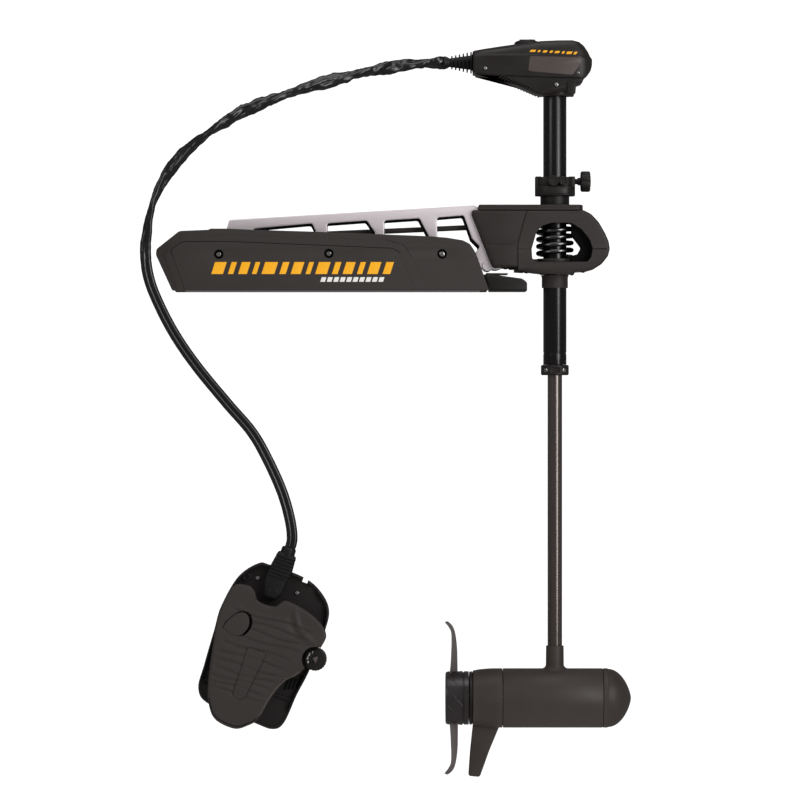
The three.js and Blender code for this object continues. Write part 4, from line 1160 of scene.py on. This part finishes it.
BASE_OUTLINE = [
    (-53, 132), (-32, 136), (25, 135), (60, 123), (86, 98), (92, 61), (89, -11), (82, -59),
    (77, -110), (62, -127), (27, -127), (-54, -122), (-80, -103), (-84, -60), (-87, 0),
    (-89, 42), (-78, 99),
]
PAD_OUTLINE = [
    (-81, 82), (-57, 93), (-43, 88), (-31, 74), (-3, 74), (12, 89), (40, 87), (70, 78), (93, 62),
    (96, 40), (76, -16), (56, -40), (43, -72), (34, -114), (20, -132), (0, -144), (-34, -140),
    (-53, -120), (-66, -86), (-78, -30), (-87, 30),
]
PAD_MIDDLE = (-6, -18)
PAD_LOW = 9
PAD_HIGH = 17
BUTTON_AT = (-54, 26)
PANEL_OUTLINE = rounded([(-23.3, -4.7), (10.9, -4.6), (0.3, -93.7), (-22, -94.2)], [4, 6, 10, 10], 6)
GROOVES = [50, 37, 24, 10, -6, -22, -38, -52, -64, -75, -86]
DIAL_AT = (92, 11)


def fade(value, start, end):
    t = min(1, max(0, (value - start) / (end - start)))
    return t * t * (3 - 2 * t)


def inside_by(outline, x, y):
    """How far a point is inside an outline, negative outside."""
    nearest = 1e9
    inside = False
    for (ax, ay), (bx, by) in zip(outline, outline[1:] + outline[:1]):
        dx, dy = bx - ax, by - ay
        t = min(1, max(0, ((x - ax) * dx + (y - ay) * dy) / (dx * dx + dy * dy)))
        nearest = min(nearest, math.hypot(x - ax - t * dx, y - ay - t * dy))
        if (ay > y) != (by > y) and x < ax + (y - ay) * dx / dy:
            inside = not inside
    return nearest if inside else -nearest


def tread_height(x, y):
    """Shallow ridges across the tread, a raised outer shoulder and a lined panel."""
    edge = fade(x, -74, -60) * fade(-x, -62 - 0.3 * y, -44 - 0.3 * y)
    panel_depth = inside_by(PANEL_OUTLINE, x, y)
    ridges = 0.0
    for k, line in enumerate(GROOVES):
        away = y - line - 0.05 * x - 2.2 * math.sin(x / 17 + 1.7 * k)
        ridges -= 1.6 * math.exp(-(away / 2.2) ** 2) - 0.7 * math.exp(-((away - 5) / 3.4) ** 2)
    ridges *= edge * (0.35 if panel_depth > 0 else 1)
    shoulder = 3.4 * fade(x - 0.5 * y, 16, 44) * fade(y, -30, 10)
    toe = 1.6 * fade(y, 50, 84)
    heel = -2.6 * fade(-y, 96, 142)
    panel = 0.5 * fade(panel_depth, 0, 1.5) - 1.4 * math.exp(-(panel_depth / 1.0) ** 2)
    along = 0.778 * (x - 33.5) - 0.628 * (y - 70.4)
    beyond = 0.628 * (x - 33.5) + 0.778 * (y - 70.4) - 0.008 * (along - 28) ** 2 + 3
    swell = 2.4 * math.exp(-(beyond / 5) ** 2) - 1.9 * math.exp(-((beyond + 10) / 6) ** 2)
    swell *= fade(along, -14, 8) * fade(-along, -66, -44)
    return PAD_HIGH + ridges + shoulder + toe + heel + panel + swell


def tread_mesh():
    """The pad's top as rings that shrink to its middle, each at the tread's height there."""
    rim = spline(PAD_OUTLINE, 18)
    count = len(rim)
    rows_in = 84
    shrink = [1 - 0.8 * (k / rows_in) - 0.2 * (k / rows_in) ** 2 for k in range(rows_in)]
    verts = []
    cx, cy = PAD_MIDDLE
    lip = 5.0
    levels = [(1.0, PAD_LOW), (1.0, PAD_LOW + 1)]
    for s, z in levels:
        verts += [(cx + (x - cx) * s, cy + (y - cy) * s, z) for x, y in rim]
    for s in shrink:
        for x, y in rim:
            away = math.hypot(x - cx, y - cy) * (1 - s)
            px, py = cx + (x - cx) * s, cy + (y - cy) * s
            drop = lip - math.sqrt(max(0, lip * lip - max(0, lip - away) ** 2))
            verts.append((px, py, tread_height(px, py) - drop))
    rows = len(verts) // count
    faces = bands(rows, count)
    middle = len(verts)
    verts.append((cx, cy, tread_height(cx, cy)))
    for i in range(count):
        faces.append(((rows - 1) * count + i, (rows - 1) * count + (i + 1) % count, middle))
    faces.append(tuple(range(count))[::-1])
    return verts, faces


def across_pin(radius, x0, x1, segments=40, fillet=0.5):
    profile = [(0, x0), (radius, x0), (radius, x1), (0, x1)]
    return lathed(profile, (1, 0, 0), (0, 0, 0), segments, fillet)


def make_pedal_base():
    outline = spline(BASE_OUTLINE, 8)
    floor = extruded(outline, -40, -33.4, 2.6, bevel_low=0.8)
    wall = [((x - 2) * 0.955 + 2, (y - 4) * 0.968 + 4) for x, y in outline]
    edge = [((x - 2) * 0.992 + 2, (y - 4) * 0.994 + 4) for x, y in outline]
    rim = extruded(edge, -35, -22, 1.3, [wall], hole_bevel=0.8)
    rim = pedal_piece("pedal_base_rim", rim, "black", "pedal")
    posts = []
    for side in (-1, 1):
        x0, x1 = sorted((side * 44, side * 52))
        posts.append(box((x0, -14, -34.6), (x1, 14, -2), 1.2))
        posts.append(across_pin(8, x0, x1))
    ribs = [box((x - 1.5, -100, -34), (x + 1.5, 60, -27), 0.8) for x in (-30, 0, 30)]
    rails = [box((-76, y - 1.5, -34), (74, y + 1.5, -28), 0.8) for y in (-70, -30, 40)]
    lug = [lathed([(3.5, -34), (8, -34), (7.4, -30.4), (3.5, -30.4), (3.5, -34)], (0, 0, 1),
                  (x, y, 0), 40, 0.5) for x, y in ((79, 66), (-70, -88), (-64, 104))]
    shape = merged(*posts, *ribs, *rails, *lug)
    gaps = [box((46, 112, -30), (58, 140, -10), 0), box((72, 98, -27), (80, 130, -10), 0),
            box((-34, 120, -30.5), (8, 150, -10), 0), box((-100, -150, -32), (100, -88, -10), 0),
            box((28, 126.5, -45), (37, 150, -10), 0)]
    carve(rim, *[moved(gap, PEDAL) for gap in gaps])
    base = pedal_piece("pedal_base_floor", floor, "black", "pedal", "pedal_base")
    carve(base, moved(gaps[-1], PEDAL))
    pedal_piece("pedal_base_posts", shape, "black", "pedal")
    # Near-black slot shapes on the base: painted shade standing for shaded vent slots.
    vents = []
    for k in range(4):
        x, y = 60 + k * 6, -45 + k * 3
        slot = [(x - 2.4, y - 12), (x + 1, y - 12), (x + 2.4, y + 12), (x - 1, y + 12)]
        vents.append(extruded(rounded(slot, 1), -34, -31.4, 0.5))
    pedal_piece("pedal_base_vent_shade", merged(*vents), "painted_shade", "pedal")
    foot = [(0, -42.6), (8, -42.6), (9, -41), (9, -39.6), (0, -39.6)]
    feet = [lathed(foot, (0, 0, 1), (x, y, 0), 32, 0.6)
            for x, y in ((-66, -84), (58, -98), (72, 40), (-70, 60), (0, 110))]
    pedal_piece("pedal_rubber_feet", merged(*feet), "rubber", "pedal")
    heads = [screw_head((x, y, -33.6), 4, (0, 0, 1), 4.4)
             for x, y in ((-46, 108), (26, 106))]
    pedal_piece("pedal_screws", merged(*heads), "steel", "pedal")
    pin = [(0, -53.5), (4, -53.5), (4, 53.5), (0, 53.5)]
    caps = [lathed([(0, x), (5.6, x), (5.6, x + d), (0, x + d)], (1, 0, 0), (0, 0, 0), 32, 0.6)
            for x, d in ((-55, 2.2), (52.8, 2.2))]
    pin = lathed(pin, (1, 0, 0), (0, 0, 0), 32, 0.4)
    pedal_piece("rocker_pin_steel", merged(pin, *caps), "steel", "pedal", "rocker_pin")


def make_foot_pad():
    lugs = []
    for side in (-1, 1):
        x0, x1 = sorted((side * 34, side * 42))
        lugs.append(box((x0, -10, 1), (x1, 10, 9.6), 0.8))
        lugs.append(across_pin(8, x0, x1))
    pad = pedal_piece("foot_pad_tread", tread_mesh(), "moulding", "foot_pad", "foot_pad")
    well = extruded(egg(0.7, 3.6), 0, 40, 0)
    notch = lathed([(0, 0), (22.5, 0), (22.5, 40), (0, 40)], (0, 0, 1), (*DIAL_AT, 0), 64)
    carve(pad, moved(well, PEDAL), moved(notch, PEDAL))
    pedal_piece("foot_pad_lugs", merged(*lugs), "moulding", "foot_pad")
    skirt = spline(PAD_OUTLINE, 8)
    inner = [(PAD_MIDDLE[0] + (x - PAD_MIDDLE[0]) * 0.95, PAD_MIDDLE[1] + (y - PAD_MIDDLE[1]) * 0.955)
             for x, y in skirt]
    outer = [(PAD_MIDDLE[0] + (x - PAD_MIDDLE[0]) * 0.985, PAD_MIDDLE[1] + (y - PAD_MIDDLE[1]) * 0.985)
             for x, y in skirt]
    rim = extruded(outer, 3.5, PAD_LOW + 0.5, 0.8, [inner], hole_bevel=0.3)
    skirt = pedal_piece("foot_pad_skirt", rim, "black", "foot_pad")
    carve(skirt, moved(notch, PEDAL))
    # Thin near-black bars on the heel: painted shade of its ribbing.
    ribs = []
    for k in range(9):
        x = -19.5 + k * 2.1
        ribs.append(box((x - 0.4, -84, 15), (x + 0.4, -78, 17.6), 0.3))
    pedal_piece("foot_pad_heel_rib_shade", merged(*ribs), "painted_shade", "foot_pad")
    # A paler line along the tread's right shoulder: painted highlight on the ridge there.
    line = spline(PAD_OUTLINE, 8)
    path = []
    for x, y in line:
        if -118 < y < -14 and x > 18:
            path.append((x - 3.0, y, tread_height(x - 4, y) - 0.4))
    path.sort(key=lambda p: p[1])
    pedal_piece("foot_pad_ridge_highlight_line", swept(path, 0.7, 8), "edge", "foot_pad")
    # A near-black line across the heel: painted shade in the groove there.
    heel = [(x, y + 5, tread_height(x, y + 5) - 0.2) for x, y in line if y < -112]
    heel.sort(key=lambda p: p[0])
    pedal_piece("foot_pad_heel_shade_line", swept(heel, 0.8, 8), "painted_shade", "foot_pad")


def egg(grow, aside=0.0):
    """Outline of the button: pointed on the outer side, blunt on the inner side."""
    points = [(-73, 13), (-66, 33), (-52, 47.5), (-38.5, 45), (-32, 28), (-40, 9), (-57, 5.5)]
    cx, cy = -53, 26
    scale = 1 + grow / 23
    return [(cx + (x - cx) * scale + aside * fade(x, -60, -36), cy + (y - cy) * scale + 0.4 * aside)
            for x, y in spline(points, 8)]


def make_button():
    stem = lathed([(0, 12.4), (17, 12.4), (17, 15), (0, 15)], (0, 0, 1), (*BUTTON_AT, 0), 64, 0.5)
    cap = extruded(egg(-0.7), 14, 18.6, 2.2)
    pedal_piece("momentary_button_cap", merged(stem, cap), "moulding", "button", "momentary_button")


def make_speed_knob():
    lobes = []
    for k in range(120):
        a = 2 * math.pi * k / 120
        r = 19.4 - 0.7 * (0.5 + 0.5 * math.cos(24 * a)) ** 3
        lobes.append((DIAL_AT[0] + r * math.cos(a), DIAL_AT[1] + r * math.sin(a)))
    disc = extruded(lobes, -33.6, 4, 1.6)
    cap = lathed([(0, 3), (17.6, 3), (17.6, 5), (16.6, 5.8), (0, 5.8)], (0, 0, 1), (*DIAL_AT, 0),
                 64, 0.6)
    grip = box((DIAL_AT[0] - 2, DIAL_AT[1] - 10, 5), (DIAL_AT[0] + 4, DIAL_AT[1] + 8, 8.4), 1.4)
    pedal_piece("speed_knob_dial", merged(disc, cap, grip), "black", "speed_knob", "speed_knob")
    x, y = DIAL_AT
    pointer = extruded([(x - 5, y + 1), (x + 3, y - 5), (x + 3, y + 7)], 8.4, 8.8, 0)
    pedal_piece("speed_knob_pointer", pointer, "edge", "speed_knob")
    shapes = []
    for number, degrees in (("1", 128), ("2", 158), ("3", 188), ("4", 218)):
        shapes.append(digit(number, x + 13 * math.cos(math.radians(degrees)),
                            y + 13 * math.sin(math.radians(degrees)), 6.0))
    pedal_piece("speed_knob_marks", merged(*shapes), "white", "speed_knob")


def digit(number, x, y, z):
    """A numeral that lies flat on the dial."""
    curve = bpy.data.curves.new("numeral", "FONT")
    curve.body = number
    curve.align_x = "CENTER"
    curve.align_y = "CENTER"
    curve.size = 6.6
    curve.extrude = 0.25
    obj = bpy.data.objects.new("numeral", curve)
    bpy.context.scene.collection.objects.link(obj)
    bpy.context.view_layer.update()
    mesh = bpy.data.meshes.new_from_object(obj.evaluated_get(bpy.context.evaluated_depsgraph_get()))
    shape = ([(v.co.x + x, v.co.y + y, v.co.z + z) for v in mesh.vertices],
             [tuple(p.vertices) for p in mesh.polygons])
    bpy.data.objects.remove(obj)
    bpy.data.curves.remove(curve)
    bpy.data.meshes.remove(mesh)
    return shape


def make_cable_clamp():
    outline = rounded([(-27, 164.5), (5, 163.5), (7, 135), (4, 116), (2, 94), (-5, 82), (-26, 82),
                       (-34, 108), (-32, 136)], [4, 4, 8, 8, 6, 4, 6, 10, 8], 5)
    boot = extruded(outline, -33.6, -8, 5, bevel_low=2)
    ribs = []
    for k in range(7):
        y = 122 + k * 6
        ribs.append(box((-31 + k * 0.4, y - 1.2, -30), (6.6 - k * 0.1, y + 1.2, -5.6), 1.1))
    pedal_piece("cable_clamp_boot", merged(boot, *ribs), "rubber", "pedal", "cable_clamp")
    aim = Vector(CABLE_ROUTE[-2]) - Vector(CABLE_ROUTE[-1])
    cuff = [(10.6, -12), (12.6, -12), (12.4, 6), (11.4, 9), (9.8, 9), (9.8, -11), (10.6, -12)]
    piece("cable_clamp_cuff", lathed(cuff, aim, CABLE_ROUTE[-1], 48, 0.6), "rubber", "pedal")
    heads = [screw_head((x, y, -8.4), 3, (0, 0, 1), 1.4) for x, y in ((-20, 95), (-7, 97))]
    pedal_piece("cable_clamp_screws", merged(*heads), "black", "pedal")


make_pedal_base()
make_foot_pad()
make_button()
make_speed_knob()
make_cable_clamp()

# ---- Finishes for the CAD nodes that stay ---------------------------------------------------------

KEPT = {
    "mount_base": "channel", "arm_pivot_pin": "steel", "link_pivot_pin": "steel",
    "arm_tie_rear": "arm", "arm_tie_front": "arm", "knee_pin": "black", "guard_hinge_pin": "steel",
    "upper_bushing": "nylon", "lower_bushing": "nylon", "idler_gear": "nylon",
    "indicator_gear": "nylon", "drum_gear": "nylon", "steering_drum": "black",
    "magnet_near": "magnet", "magnet_far": "magnet", "front_bearing": "steel",
    "rear_bearing": "steel", "shaft_seal": "rubber", "brush_plate": "black",
    "armature_core": "windings", "commutator": "brass",
}
for node, look in KEPT.items():
    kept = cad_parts[node]
    kept.data.materials.clear()
    kept.data.materials.append(MATERIALS[look][0])

# ---- Floor and light ------------------------------------------------------------------------------

def plain(name, colour, roughness, glow):
    material = bpy.data.materials.new(name)
    material.use_nodes = True
    shader = material.node_tree.nodes["Principled BSDF"]
    shader.inputs["Emission Color"].default_value = (1, 1, 1, 1)
    shader.inputs["Emission Strength"].default_value = glow
    shader.inputs["Base Color"].default_value = colour
    shader.inputs["Roughness"].default_value = roughness
    return material


STAGE_FRONT, STAGE_BACK, STAGE_SIDE, STAGE_TOP = -12.0, 10.0, 14, 14.0  # metres
STAGE_CURVE = 2.0
STAGE_STEPS = 24


def make_stage():
    """A pale floor that curves up into a wall far behind the motor."""
    line = [(STAGE_FRONT, 0.0), (STAGE_BACK, 0.0)]
    for k in range(1, STAGE_STEPS + 1):
        a = math.pi / 2 * k / STAGE_STEPS
        line.append((STAGE_BACK + STAGE_CURVE * math.sin(a), STAGE_CURVE - STAGE_CURVE * math.cos(a)))
    line.append((STAGE_BACK + STAGE_CURVE, STAGE_TOP))
    verts = [(x, y, z + FLOOR_Z * MM) for x in (-STAGE_SIDE, STAGE_SIDE) for y, z in line]
    count = len(line)
    faces = [(i, i + 1, count + i + 1, count + i) for i in range(count - 1)]
    mesh = bpy.data.meshes.new("studio_floor")
    mesh.from_pydata(verts, [], faces)
    mesh.shade_smooth()
    mesh.materials.append(plain("studio_paper", (0.25, 0.25, 0.25, 1), 0.9, 0.97))
    floor = bpy.data.objects.new("studio_floor", mesh)
    bpy.context.scene.collection.objects.link(floor)
    floor.visible_glossy = False


def add_light(name, place, aim, size, power, tall=None, sheen_only=False):
    data = bpy.data.lights.new(name, "AREA")
    data.shape = "RECTANGLE"
    data.size = size
    data.size_y = tall or size
    data.energy = power
    lamp = bpy.data.objects.new(name, data)
    lamp.location = place
    lamp.rotation_euler = (Vector(aim) - Vector(place)).to_track_quat("-Z", "Y").to_euler()
    bpy.context.scene.collection.objects.link(lamp)
    lamp.visible_diffuse = not sheen_only
    lamp.visible_camera = False


make_stage()
add_light("fill_left", (-3.6, -4.0, 2.2), (0.1, 0, -0.1), 2.2, 44)
add_light("key_right", (3.3, -4.2, 1.6), (0.2, 0, -0.2), 3.2, 105, 3.6)
add_light("top_soft", (0.2, -0.8, 3.8), (0.1, 0, -0.2), 3.0, 62)
add_light("tall_strip", (2.3, -2.6, -0.1), (0.385, 0, -0.1), 0.6, 30, 2.4, sheen_only=True)
world = bpy.data.worlds.new("studio_world")
bpy.context.scene.world = world
world.use_nodes = True
world.node_tree.nodes["Background"].inputs["Color"].default_value = (1, 1, 1, 1)
world.node_tree.nodes["Background"].inputs["Strength"].default_value = 0.15

bpy.context.scene.view_settings.view_transform = "Standard"
